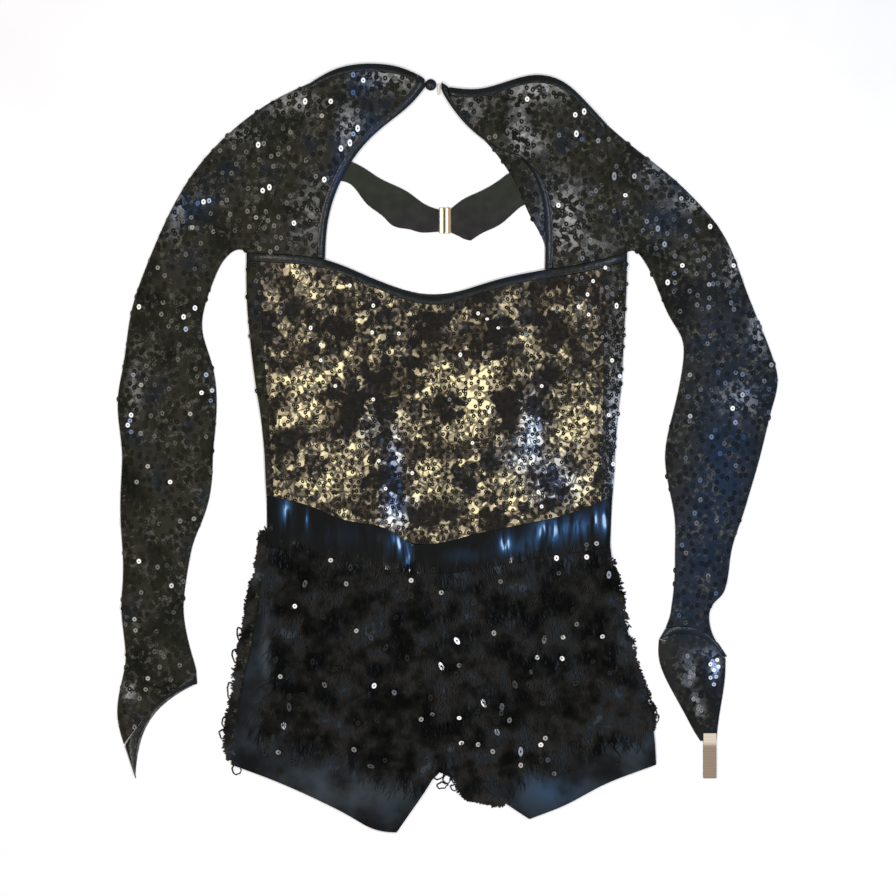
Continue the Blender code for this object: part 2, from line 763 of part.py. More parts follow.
def yoke_lattice(which, region):
    """Places over a yoke: its cloth, the binding along the keyhole and the one at the neck."""
    rows, columns = YOKE_ROWS + BAND_CELLS + 1, YOKE_COLUMNS + BAND_CELLS + 1
    u, v = np.zeros((rows, columns)), np.zeros((rows, columns))
    for _ in range(SETTLE):
        side_band = KEYHOLE_BAND / region.width(v)
        for row, column in np.ndindex(rows, columns):
            u[row, column] = yoke_columns(which, side_band[row, column])[column]
        top_band = NECK_BAND / region.height(u)
        for row, column in np.ndindex(rows, columns):
            v[row, column] = stations([0, 1 - top_band[row, column], 1], [YOKE_ROWS, BAND_CELLS])[row]
    return region.place(u, v)


def neckline_stations():
    """The yokes' columns as shares of the neckline, and even ones between them."""
    ends = {}
    for which, region in YOKES.items():
        columns = yoke_columns(which, KEYHOLE_BAND / float(region.width(NOUGHT)[0]))
        x = between(region.bottom[0, 0], region.bottom[-1, 0], columns)
        ends[which] = (x - BODICE.top[0, 0]) / (BODICE.top[-1, 0] - BODICE.top[0, 0])
    middle = COLUMNS - 2 * (YOKE_COLUMNS + BAND_CELLS)
    run = np.linspace(ends["left"][-1], ends["right"][0], middle + 1)[1:-1]
    return np.concatenate([ends["left"], run, ends["right"]])


def bodice_lattice():
    """Places over the bodice up to its binding, and those of the binding."""
    s = BODY_STATIONS[None, :] * np.ones((BODICE_ROWS + 1, 1))
    t = np.linspace(0, 1, BODICE_ROWS + 1)[:, None] * np.ones((1, COLUMNS + 1))
    u, v = s.copy(), t.copy()
    for _ in range(SETTLE):
        v = t * (1 - NECKLINE_BAND / BODICE.height(u))
        u = follow_seams(s, v)
    share = np.linspace(0, 1, BAND_CELLS + 1)[:, None]
    band = BODICE.place(between(u[-1:], neckline_stations()[None, :], share), between(v[-1:], 1, share))
    return BODICE.place(u, v), band


def build_trunk(look):
    cloth, band = bodice_lattice()
    left, right = SIDE_COLUMNS, COLUMNS - SIDE_COLUMNS
    front_cloth("bodice_front", cloth[:, left : right + 1], look["gold_lace"])
    front_cloth("side_panel_left", cloth[:, : left + 1], look["sequin_mesh"], ("left",))
    front_cloth("side_panel_right", cloth[:, right:], look["sequin_mesh"], ("right",))
    front_band("neckline_binding", band, look["binding"], 0, ("left", "right"))
    whole = np.concatenate([cloth[::2, ::2], band[-1:, ::2]])
    back_cloth("bodice_back", whole, look["sequin_mesh"], open_sides=("left", "right"))

    rows = np.linspace(0, 1, WAIST_ROWS + 1)[:, None] * np.ones((1, COLUMNS + 1))
    waist = WAIST.place(BODY_STATIONS[None, :] * np.ones((WAIST_ROWS + 1, 1)), rows)
    front_cloth("waistband_front_left", waist[:, : SPLIT + 1], look["wet_look"], ("left",))
    front_cloth("waistband_front_right", waist[:, SPLIT:], look["wet_look"], ("right",))
    back_cloth("waistband_back", waist[::WAIST_ROWS, ::2], look["wet_look"], open_sides=("left", "right"))


def leg_lattice(which):
    """Places over one leg, with the waistband's columns carried down to its hem."""
    if which == "left":
        u = BODY_STATIONS[: SPLIT + 1] / BODY_STATIONS[SPLIT]
    else:
        u = (BODY_STATIONS[SPLIT:] - BODY_STATIONS[SPLIT]) / (1 - BODY_STATIONS[SPLIT])
    v = np.linspace(0, 1, LEG_ROWS + 1)
    return LEGS[which].place(u[None, :] * np.ones((LEG_ROWS + 1, 1)), v[:, None] * np.ones((1, len(u))))


def build_legs(look):
    for which in LEGS:
        places, free = leg_lattice(which), (which, "bottom")
        front_cloth(f"shorts_front_{which}", places, look["stretch_cloth"], free)
        back_cloth(f"shorts_back_{which}", places[::2, ::2], look["stretch_cloth"], open_sides=free)


def build_yokes(look):
    for which, region in YOKES.items():
        places = yoke_lattice(which, region)
        if which == "left":
            cloth, keyhole, inner = np.s_[: YOKE_COLUMNS + 1], np.s_[YOKE_COLUMNS:], "right"
        else:
            cloth, keyhole, inner = np.s_[BAND_CELLS:], np.s_[: BAND_CELLS + 1], "left"
        front_cloth(f"yoke_front_{which}", places[: YOKE_ROWS + 1, cloth], look["sequin_mesh"])
        front_band(f"keyhole_binding_{which}", places[:, keyhole], look["binding"], 1, ("top", inner))
        front_band(f"neck_binding_{which}", places[YOKE_ROWS:, cloth], look["binding"], 0, ("top",))
    for which, region in BACK_YOKES.items():
        u, v = np.meshgrid(np.linspace(0, 1, 5), np.linspace(BACK_YOKE_START, 1, 9))
        back_cloth(f"yoke_back_{which}", region.place(u, v), look["sequin_mesh"], open_sides=("top",))


RING_TOP = np.array([0.0, 0.028, 0.09, 0.2, 0.34, 0.5, 0.66, 0.8, 0.91, 0.972, 1.0])
RING_UNDER = np.array([0.965, 0.66, 0.34, 0.035])


def drawn_from(vert, fresh):
    """The fresh vertex that an extrusion drew from this one."""
    return next(edge.other_vert(vert) for edge in vert.link_edges if edge.other_vert(vert) in fresh)


def tube_piece(name, tube, shares, material, lift=0.0):
    """A flattened tube of cloth through rings, open at both ends."""
    body = bmesh.new()
    count = len(RING_TOP) + len(RING_UNDER)
    loop = bmesh.ops.create_circle(body, segments=count, radius=1, cap_ends=False)["verts"]
    edges = list(body.edges)
    lining = {}
    for number, share in enumerate(shares):
        over, under = tube.ring(share, RING_TOP), tube.ring(share, RING_UNDER, under=True)
        level = front_top(over)
        inner_level = np.maximum(level - CLOTH * steepness(over), EDGE_TOP - CLOTH)
        level += lift
        level[[0, -1]] = inner_level[[0, -1]] = TUBE_SIDE
        across = (over[-1] - over[0]) / np.linalg.norm(over[-1] - over[0])
        inner_over = over.copy()
        inner_over[0] += CLOTH * across
        inner_over[-1] -= CLOTH * across
        outside = np.column_stack([np.concatenate([over, under]), np.concatenate([level, 0 * RING_UNDER])])
        inside = np.column_stack(
            [np.concatenate([inner_over, under]), np.concatenate([inner_level, 0 * RING_UNDER + CLOTH])]
        )
        if number:
            made = bmesh.ops.extrude_edge_only(body, edges=edges)["geom"]
            edges = [part for part in made if isinstance(part, bmesh.types.BMEdge)]
            fresh = {part for part in made if isinstance(part, bmesh.types.BMVert)}
            loop = [drawn_from(vert, fresh) for vert in loop]
        for vert, outer_spot, inner_spot in zip(loop, outside * MM, inside * MM):
            vert.co = outer_spot
            lining[tuple(vert.co)] = inner_spot
    made = bmesh.ops.extrude_face_region(body, geom=body.faces[:], use_keep_orig=True)["geom"]
    for part in made:
        if isinstance(part, bmesh.types.BMVert):
            part.co = lining[tuple(part.co)]
    bmesh.ops.recalc_face_normals(body, faces=body.faces)
    add_object(name, body, material)


def build_sleeves(look):
    for which, tube in SLEEVES.items():
        cuff = tube.ring_share[-2]
        gap = CUFF_GAP / tube.length
        sleeve = stations([ARMHOLE_GAP / tube.length, 0.9 * cuff, cuff - gap / 2], [24, 6])
        tube_piece(f"sleeve_{which}", tube, sleeve, look["sequin_mesh"])
        edge = np.linspace(cuff + gap / 2, 1, 3)
        tube_piece(f"cuff_binding_{which}", tube, edge, look["binding"], BAND_RISE)


def build_cuff_point(look):
    """The point over the back of the right hand, and its finger loop."""
    share = np.linspace(0, 1, CURVE_SAMPLES)
    top = SLEEVES["right"].ring(1.0, share, under=True)[::-1]
    bottom = smooth([POINT_LEFT[-1], POINT_RIGHT[-1]])
    region = Region(bottom, top, smooth(POINT_LEFT)[::-1], smooth(POINT_RIGHT)[::-1])
    u, v = np.meshgrid([0, 0.16, 0.5, 0.84, 1], [0, 0.1, 0.3, 0.55, 0.8, 0.993])
    edge = np.where((u == 0) | (u == 1), POINT_EDGE, 0.0) * (v > 0.2)
    slab("cuff_point_right", region.place(u, v), CLOTH + edge, 0 * edge, look["sequin_mesh"])

    tip, high = bottom[0, 1] - SEAM_GAP, CLOTH + LAYER_GAP + ELASTIC
    path = [
        (tip, 0.0),
        (ELASTIC_END + 2.4, 0.0),
        (ELASTIC_END + 0.4, 0.16 * high),
        (ELASTIC_END, 0.5 * high),
        (ELASTIC_END + 0.4, 0.84 * high),
        (ELASTIC_END + 2.4, high),
        (tip, high),
        (ELASTIC_TOP, high),
    ]
    body = bmesh.new()
    bmesh.ops.create_grid(body, x_segments=2, y_segments=len(path) - 1, size=0.5)
    for vert in body.verts:
        y, z = path[round((vert.co.y + 0.5) * (len(path) - 1))]
        vert.co = ((ELASTIC_X + vert.co.x * ELASTIC_WIDTH) * MM, y * MM, z * MM)
    add_wall(add_object("finger_loop_right", body, look["elastic"]), ELASTIC)


def box(name, middle, size, bevel, material):
    """A block with rounded edges."""
    body = bmesh.new()
    bmesh.ops.create_cube(body, size=1)
    for vert in body.verts:
        vert.co = [(middle[axis] + vert.co[axis] * size[axis]) * MM for axis in range(3)]
    thing = add_object(name, body, material)
    rounding = thing.modifiers.new("Rounding", "BEVEL")
    rounding.width = bevel * MM
    rounding.segments = 2


def build_strap(look):
    """The back strap and its clasp."""
    straps = {
        "left": (smooth(LEFT_STRAP_TOP), smooth(LEFT_STRAP_BOTTOM)),
        "right": (smooth(RIGHT_STRAP_TOP), smooth(RIGHT_STRAP_BOTTOM)),
    }
    for which, (top, bottom) in straps.items():
        region = Region(bottom, top, smooth([bottom[0], top[0]]), smooth([bottom[-1], top[-1]]))
        u, v = np.meshgrid(np.linspace(0, 1, 13), np.linspace(0, 1, 4))
        back_cloth(f"back_strap_{which}", region.place(u, v), look["plain_cloth"], STRAP, STRAP_FOLDS)
    halves = {
        "left": (CLASP_LEFT, CLASP_MIDDLE - SEAM_GAP / 2),
        "right": (CLASP_MIDDLE + SEAM_GAP / 2, CLASP_RIGHT),
    }
    for which, (low, high) in halves.items():
        middle = ((low + high) / 2, CLASP_Y, CLASP_THICK / 2)
        box(f"clasp_{which}", middle, (high - low, CLASP_TALL, CLASP_THICK), CLASP_BEVEL, look["gilt_metal"])


def build_fastening(look):
    """The covered knob and the clear loop at the neck."""
    body = bmesh.new()
    bmesh.ops.create_uvsphere(body, u_segments=14, v_segments=8, radius=1)
    for vert in body.verts:
        x, y, z = vert.co
        height = (max(z, -KNOB_CUT) + KNOB_CUT) / (1 + KNOB_CUT) * KNOB_THICK
        vert.co = ((KNOB.x + x * KNOB_RADIUS) * MM, (KNOB.y + y * KNOB_RADIUS) * MM, height * MM)
    bmesh.ops.recalc_face_normals(body, faces=body.faces)
    add_object("neck_knob", body, look["binding"])
    size = (LOOP_WIDTH, LOOP_TALL, LOOP_THICK)
    box("neck_loop", (LOOP.x, LOOP.y, LOOP_THICK / 2), size, 0.5, look["clear_elastic"])


def comb(name, root, hang, length, locks, resting, material):
    """A row of fringe. Its tape follows root, and its locks hang along the ways given at the root's ends."""
    body = bmesh.new()
    columns = 2 * locks - 1
    bmesh.ops.create_grid(body, x_segments=columns, y_segments=1, size=0.5)
    share = np.linspace(0, 1, columns + 1)
    tops = at_share(root, share)
    ways = between(np.array(hang[0], float), np.array(hang[1], float), share[:, None])
    ways /= np.linalg.norm(ways, axis=1, keepdims=True)
    lower = {}
    for vert in body.verts:
        column = round((vert.co.x + 0.5) * columns)
        below = vert.co.y < 0
        vert.co = (*(tops[column] + ways[column] * TAPE * below), 0)
        if below:
            lower[column] = vert
    for lock in range(locks):
        ends = [lower[2 * lock], lower[2 * lock + 1]]
        way = (ways[2 * lock] + ways[2 * lock + 1]) / 2
        swing = np.array([way[1], -way[0]]) * LOCK_SWAY[lock % len(LOCK_SWAY)]
        reach = way * length * LOCK_TRIM[lock % len(LOCK_TRIM)]
        roots = [np.array(end.co[:2]) for end in ends]
        middle = (roots[0] + roots[1]) / 2
        for step in range(1, LOCK_STEPS + 1):
            part = step / LOCK_STEPS
            made = bmesh.ops.extrude_edge_only(body, edges=[body.edges.get(ends)])["geom"]
            fresh = {item for item in made if isinstance(item, bmesh.types.BMVert)}
            ends = [drawn_from(end, fresh) for end in ends]
            for end, start in zip(ends, roots):
                wide = (start - middle) * between(1, LOCK_TIP, part)
                end.co = (*(middle + wide + reach * part + swing * part**2), 0)
    verts = list(body.verts)
    level = dict(zip(verts, resting(np.array([vert.co[:2] for vert in verts]))))
    for vert in verts:
        vert.co.z = level[vert]
    made = bmesh.ops.extrude_face_region(body, geom=body.faces[:], use_keep_orig=True)["geom"]
    upper = [item for item in made if isinstance(item, bmesh.types.BMVert)]
    bmesh.ops.translate(body, verts=upper, vec=(0, 0, FRINGE_THICK))
    bmesh.ops.scale(body, verts=body.verts, vec=(MM, MM, MM))
    bmesh.ops.recalc_face_normals(body, faces=body.faces)
    add_object(name, body, material)


def over_front(places):
    """The lowest height at which a row of fringe clears the front layer all round each place."""
    turns = np.linspace(0, 2 * math.pi, 9)[:-1]
    steps = [(0.0, 0.0)] + [(FRINGE_REACH * math.cos(turn), FRINGE_REACH * math.sin(turn)) for turn in turns]
    return np.max([front_top(places + np.array(step)) for step in steps], axis=0) + FRINGE_LIFT


def on_floor(places):
    return np.zeros(len(places))


def build_fringe(look):
    for which, leg in LEGS.items():
        for number, row in enumerate(FRINGE_ROWS, 1):
            low, high = (row.left_from, 0.985) if which == "left" else (0.015, row.right_to)
            u = np.linspace(low, high, CURVE_SAMPLES)
            root = leg.place(u, np.full(CURVE_SAMPLES, 1 - row.drop))
            hang = leg.place(u[[0, -1]], np.full(2, 0.9 - row.drop)) - root[[0, -1]]
            comb(f"fringe_{which}_{number}", root, hang, LOCK_LENGTH, ROW_LOCKS, over_front, look["fringe"])
    side = body_side("left", SIDE_FRINGE_TOP, SIDE_FRINGE_END) - np.array([BACK_FRINGE_GAP, 0.0])
    comb(
        "fringe_back_side",
        side,
        [SIDE_FRINGE_HANG, SIDE_FRINGE_HANG],
        SIDE_FRINGE_LENGTH,
        SIDE_FRINGE_LOCKS,
        on_floor,
        look["fringe"],
    )
    inseam = at_share(smooth(RIGHT_INSEAM), np.linspace(CROTCH_FRINGE_FROM, CROTCH_FRINGE_TO, CURVE_SAMPLES))
    comb(
        "fringe_back_crotch",
        inseam + BACK_FRINGE_GAP * np.array(CROTCH_FRINGE_HANG),
        [CROTCH_FRINGE_HANG, CROTCH_FRINGE_HANG],
        CROTCH_FRINGE_LENGTH,
        CROTCH_FRINGE_LOCKS,
        on_floor,
        look["fringe"],
    )


def finish(name, colour, roughness, metallic=0.0):
    """A plain material."""
    material = bpy.data.materials.new(name)
    material.use_nodes = True
    shader = material.node_tree.nodes["Principled BSDF"]
    shader.inputs["Base Color"].default_value = (*colour, 1.0)
    shader.inputs["Roughness"].default_value = roughness
    shader.inputs["Metallic"].default_value = metallic
    return material


GARMENT = bpy.data.collections.new("sequin_leotard")


def main():
    for thing in list(bpy.data.objects):
        bpy.data.objects.remove(thing)
    bpy.context.scene.collection.children.link(GARMENT)
    look = {
        "sequin_mesh": finish("sequin_mesh", (0.022, 0.022, 0.022), 0.35, 0.3),
        "gold_lace": finish("gold_lace", (0.11, 0.085, 0.045), 0.4, 0.4),
        "binding": finish("binding", (0.02, 0.022, 0.025), 0.45),
        "wet_look": finish("wet_look", (0.012, 0.014, 0.02), 0.15),
        "stretch_cloth": finish("stretch_cloth", (0.014, 0.016, 0.022), 0.5),
        "plain_cloth": finish("plain_cloth", (0.025, 0.026, 0.022), 0.8),
        "fringe": finish("fringe", (0.012, 0.01, 0.009), 0.8),
        "gilt_metal": finish("gilt_metal", (0.8, 0.62, 0.36), 0.25, 1.0),
        "clear_elastic": finish("clear_elastic", (0.8, 0.82, 0.8), 0.3),
        "elastic": finish("elastic", (0.58, 0.44, 0.33), 0.8),
    }
    build_trunk(look)
    build_legs(look)
    build_yokes(look)
    build_sleeves(look)
    build_cuff_point(look)
    build_strap(look)
    build_fastening(look)
    build_fringe(look)


main()
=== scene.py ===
"""Looks of the sequin leotard: cloth, lace, sequins, fringe and fastenings, laid on a pale floor.

Sizes are metres, as in the frame. Tables that follow the garment are in millimetres: x runs across it,
to the viewer's right, y runs up it, and (0, 0) is the middle of its outline.
"""

import math
from collections import namedtuple
from functools import partial

import bmesh
import bpy
import numpy as np
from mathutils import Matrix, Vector
from mathutils.bvhtree import BVHTree


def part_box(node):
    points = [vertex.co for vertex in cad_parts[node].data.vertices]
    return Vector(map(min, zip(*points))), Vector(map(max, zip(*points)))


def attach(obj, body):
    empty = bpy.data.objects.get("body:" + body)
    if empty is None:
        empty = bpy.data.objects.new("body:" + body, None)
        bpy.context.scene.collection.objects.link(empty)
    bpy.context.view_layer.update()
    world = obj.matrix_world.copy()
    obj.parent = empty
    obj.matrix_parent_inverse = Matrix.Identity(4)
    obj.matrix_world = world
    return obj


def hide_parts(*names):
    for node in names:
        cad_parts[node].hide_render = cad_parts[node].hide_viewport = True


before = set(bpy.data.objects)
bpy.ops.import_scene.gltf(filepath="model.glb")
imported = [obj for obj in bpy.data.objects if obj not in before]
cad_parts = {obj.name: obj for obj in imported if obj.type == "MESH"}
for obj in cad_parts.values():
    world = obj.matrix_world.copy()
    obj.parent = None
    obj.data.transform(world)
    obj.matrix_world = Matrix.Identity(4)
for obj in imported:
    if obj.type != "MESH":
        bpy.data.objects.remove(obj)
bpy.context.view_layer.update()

MM = 0.001
BODY = "root"

# Cloth
MERGE = 1e-6
RIM_ANGLE = math.radians(38)  # edges sharper than this are a panel's rims
BINDING_RIM = 0.7  # how sharp a binding's rims stay, where 1 is a panel's
ROUNDING = 2  # levels of rounding
UNDER_CLEAR = 1.25 * MM  # front panels stay above the back ones
RAY_TOP = 0.05  # rays that look for the cloth start this far over it, or under it

# Sequins: flat foil rings
SEQUIN_RADIUS = 2.25 * MM
SEQUIN_HOLE = 0.7 * MM
SEQUIN_SIDES = 12
SEQUIN_LIFT = 0.5 * MM
SEQUIN_BELOW = -0.1 * MM  # height of those on the underside
SEQUIN_TILT = 0.06  # spread of their tilts, in radians
UNDER_TILT = 0.02  # share of it on the underside
SEQUIN_JITTER = 0.22  # spread of their places, against the distance between two
SEQUIN_EDGE = 1.0 * MM  # they keep this far from a plain panel
SEQUIN_STRETCH = 1.15  # they look a little longer than wide
STEEPEST = 0.2  # least upward share of the normal where one is sewn
PALEST = 0.965  # tone of the palest strewn one
GLINT_LIFT = 0.9 * MM
CUFF_FIGURE = 0.2  # the cuff has them only where its figures are this strong, and painted pale as glints:
CUFF_GLINT_TONE, CUFF_BRIGHT_X, CUFF_BRIGHTER = 0.985, 232 * MM, 0.02

# Fringe
YARN_RADIUS = 0.3 * MM
YARN_TAPER = 0.5
YARN_POINTS = 7
YARN_WANDER, YARN_RIGHTING = 0.25, 0.3  # how much a yarn turns at each point, and turns back
YARN_LENGTH = 44.0 * MM
YARN_LEAN = {"left": -0.06, "right": 0.1}  # how the rows hang, away from straight down
YARN_SPREAD = 0.22  # how their yarns differ from it
YARN_SHARES, YARN_RISES = (0.45, 1.0), (0.3, 3.0)  # limits of their lengths, and of their rise in mm
YARNS_PER_ROW = 900
ROW_INNER, ROW_OUTER = 16.0 * MM, 12.0 * MM  # the yarns reach this far past the row's tape
ROW_ABOVE, ROW_UNDER = 3 * MM, 42 * MM  # roots lie this far above and under the tape
TOP_ROW_ABOVE, TOP_ROW_WIDER, LAST_ROW_UNDER = 14 * MM, 8 * MM, 20 * MM
TAPE_END = 6 * MM  # the tape's own ends are left out, and the rest read in so many steps
TAPE_STEPS = 11
EDGE_YARN_RADIUS = 0.8 * MM
EDGE_SEARCH = 14  # steps of a millimetre from an edging's outline inwards to the cloth
EDGE_OVERLAP = 6.0  # millimetres of cloth that an edging covers
EDGE_SPREAD = 0.8
EDGE_LOCKS, EDGE_SHARES, EDGE_RISES = (0.45, 1.15), (0.6, 1.2), (0.1, 0.8)  # limits, the last in mm
LOOP_POINTS, LOOP_WOBBLE, LOOP_RISE = 15, 0.35, 1.0 * MM
PAILLETTE_SIZE, PAILLETTE_LIFT, PAILLETTE_TILT = 0.95, 2.2 * MM, 0.2
SEAM_POINTS, SEAM_RADIUS, SEAM_REACH = 60, 0.6 * MM, 1.2 * MM
UNDER_SEED, ROW_SEED, EDGE_SEED, PAILLETTE_SEED = 50, 100, 200, 7

Crease = namedtuple("Crease", "x1 y1 x2 y2 rise spread")

# Finer creases than the solids hold, laid over them. A negative rise is a trough.
CREASES = [
    Crease(*row)
    for row in (
        (-139, -46, -137, -82, 0.5, 3), (-150, -44, -152, -84, -0.4, 4), (-44, -74, -34, -108, 0.6, 3.5),
        (-58, -74, -54, -104, 0.4, 5), (-31, -88, -25, -110, 0.5, 2.5), (52, -76, 56, -98, 0.5, 3),
        (70, -70, 66, -96, 0.35, 5), (136, -46, 142, -82, 0.6, 3), (118, -56, 122, -86, 0.4, 5),
        (-156, -120, -168, -176, 0.5, 5), (-170, -196, -168, -250, 0.7, 5), (-150, -224, -178, -262, 0.5, 6),
        (-110, -276, -60, -330, 0.6, 7), (-32, -250, -56, -300, 0.6, 6), (38, -262, 66, -316, 0.5, 6),
        (110, -232, 84, -296, 0.6, 7), (130, -180, 168, -216, 0.5, 6), (160, -232, 176, -272, 0.4, 5),
        (-150, 292, -190, 240, 0.5, 6), (-196, 254, -232, 190, 0.5, 7), (-206, 210, -250, 160, -0.4, 6),
        (-282, 96, -228, 108, 0.5, 5), (-284, 72, -220, 62, 0.4, 5), (-280, 30, -220, 44, -0.4, 5),
        (-286, -22, -228, -8, 0.4, 5), (-282, -92, -246, -104, 0.4, 5), (-288, -140, -246, -134, 0.4, 4),
        (-282, -200, -240, -190, 0.4, 4), (-276, -230, -246, -206, 0.5, 4), (170, 268, 190, 200, 0.5, 6),
        (206, 226, 214, 160, 0.5, 7), (222, 120, 276, 104, 0.5, 5), (226, 60, 284, 46, -0.4, 6),
        (210, 30, 270, 12, 0.5, 5), (208, -26, 252, -50, 0.4, 5), (212, -108, 240, -106, 0.4, 4),
        (206, -132, 232, -138, 0.5, 3), (-90, 150, -70, 60, 0.4, 9), (-150, 90, -132, 0, 0.4, 8),
        (-10, 120, 6, 40, 0.4, 9), (112, 146, 120, 30, 0.4, 9), (30, 10, 44, -70, 0.4, 8),
        (-100, 10, -92, -56, 0.4, 8),
    )
]


Spot = namedtuple("Spot", "x y wide tall strength")

# Where the lining's gold shows best, partly as painted highlight on its foil, or not at all where negative,
# which on the net is painted shade; where a painted blue reflection lies on foil and cloth; where the net's
# figures are silvery; and where a painted sheen lies on smooth cloth
SPOTS = {
    kind: [Spot(*row) for row in rows]
    for kind, rows in {
        "gold": [
            (226, -222, 32, 44, -1.0), (-128, 62, 22, 16, 0.9), (-126, 34, 24, 16, 0.7), (2, 60, 18, 14, 0.9),
            (28, 46, 18, 18, 0.8), (24, 22, 24, 18, 0.8), (112, 22, 24, 26, 1.0), (-84, -2, 24, 14, 0.6),
            (-112, -34, 26, 16, 0.8), (-16, -30, 24, 18, 0.7), (40, -34, 30, 14, 0.5),
            (122, -32, 14, 16, 0.6), (-92, 84, 24, 14, 0.2), (66, 90, 26, 18, 0.25), (-44, 18, 20, 16, 0.3),
            (-94, 31, 13, 19, -0.9), (-63, 66, 18, 12, -0.8), (-32, 68, 13, 24, -0.5),
            (26, 100, 26, 16, -0.5), (92, 70, 13, 11, -0.8), (54, 33, 8, 14, -0.8), (39, -11, 11, 12, -0.7),
            (-9, -56, 14, 9, -0.5), (116, -22, 9, 11, -0.5), (-137, 10, 18, 7, -0.7),
            (-80, -30, 14, 10, -0.4),
        ],
        "blue": [
            (-50, -20, 10, 34, 1.0), (-46, -56, 14, 16, 0.8), (76, 20, 11, 30, 1.0), (96, -30, 20, 22, 0.8),
            (60, -6, 16, 16, 0.5), (-70, 20, 12, 16, 0.4), (-76, 328, 14, 12, 0.7), (-96, 240, 8, 44, 0.9),
            (-70, 288, 12, 18, 0.8), (-232, 216, 18, 12, 0.7), (84, 200, 8, 40, 0.6), (212, 250, 26, 22, 0.7),
            (190, 200, 16, 16, 0.4), (250, -20, 24, 60, 0.5), (-204, 60, 8, 30, 0.5), (150, 0, 10, 60, 0.5),
            (262, 60, 50, 110, 0.4), (226, -110, 30, 80, 0.6), (239, -196, 8, 20, 0.9),
            (92, -306, 34, 20, 0.9), (160, -224, 20, 36, 0.8),
        ],
        "pale": [
            (-48, 334, 22, 11, 0.8), (-140, 311, 22, 9, 0.7), (-90, 290, 8, 16, 0.7),
            (-122, 208, 16, 24, 0.4), (-243, 210, 5, 22, 0.5), (-190, 281, 24, 6, 0.45),
            (82, 324, 24, 10, 1.0), (64, 288, 7, 22, 0.8), (72, 274, 14, 8, 0.7), (106, 208, 14, 26, 0.9),
            (20, 306, 14, 14, 0.4), (120, 182, 26, 8, 0.35), (256, 166, 7, 16, 0.6), (279, 108, 8, 22, 0.6),
            (218, 221, 18, 8, 0.6), (184, 250, 12, 10, 0.5), (262, 44, 16, 12, 0.4), (-281, 52, 6, 22, 0.4),
            (-286, -218, 5, 8, 0.9), (152, 20, 9, 80, 1.0), (152, -40, 7, 16, 0.6), (-155, 134, 6, 14, 0.4),
            (215, -188, 4, 5, 0.4), (219, -199, 4, 6, 0.35), (215, -208, 5, 5, 0.5), (223, -224, 4, 5, 0.35),
            (227, -236, 4, 6, 0.45), (240, -194, 4, 12, 0.4),
        ],
        "painted_sheen": [
            (-145, -56, 6, 16, 0.9), (-126, -62, 2, 10, 0.9), (-44, -84, 10, 12, 1.0), (-36, -98, 4, 12, 0.8),
            (14, -96, 20, 7, 0.35), (70, -88, 26, 12, 0.5), (118, -70, 18, 14, 0.7), (-96, -78, 34, 12, 0.2),
            (51, -84, 5, 10, 1.0), (89, -73, 14, 12, 0.9), (141, -61, 4, 17, 1.0), (132, -63, 3, 13, 0.7),
            (-153, -124, 5, 22, 0.8), (-163, -180, 4, 34, 1.0), (-164, -244, 9, 26, 0.8),
            (148, -190, 16, 26, 0.6), (166, -222, 16, 30, 0.8), (92, -306, 32, 18, 0.9),
            (-104, -308, 60, 18, 0.9), (160, -276, 26, 20, 0.5), (-20, -262, 14, 22, 0.5),
        ],
    }.items()
}


def linear(code):
    """A colour given as an sRGB hex code, in linear light."""
    levels = [int(code[start : start + 2], 16) / 255 for start in (1, 3, 5)]
    return tuple(c / 12.92 if c <= 0.04045 else ((c + 0.055) / 1.055) ** 2.4 for c in levels) + (1.0,)


def add_node(tree, kind, inputs=(), to=None, stops=(), **settings):
    """Adds a node with its settings and its ramp's stops. Its inputs are set, or linked where they are
    another node's output, and its first output is linked on to a socket."""
    node = tree.nodes.new("ShaderNode" + kind)
    for key, value in settings.items():
        setattr(node, key, value)
    for number, (position, code) in enumerate(stops):
        elements = node.color_ramp.elements
        element = elements[number] if number < 2 else elements.new(position)
        element.position, element.color = position, linear(code)
    for key, value in dict(inputs).items():
        if isinstance(value, bpy.types.NodeSocket):
            tree.links.new(value, node.inputs[key])
        else:
            node.inputs[key].default_value = value
    if to is not None:
        tree.links.new(node.outputs[0], to)
    return node.outputs


def new_material(name, **constants):
    """A material with its shader's constants set. Gives it with what adds a node to it, its shader's
    sockets and places in millimetres."""
    material = bpy.data.materials.new(name)
    material.use_nodes = True
    add = partial(add_node, material.node_tree)
    shader = material.node_tree.nodes["Principled BSDF"].inputs
    for key, value in constants.items():
        shader[key.replace("_", " ").title().replace("Ior", "IOR")].default_value = value
    place = add("TexCoord")["Object"]
    mm = add("VectorMath", {0: place, "Scale": 1 / MM}, operation="SCALE")[0]
    return material, add, shader, mm
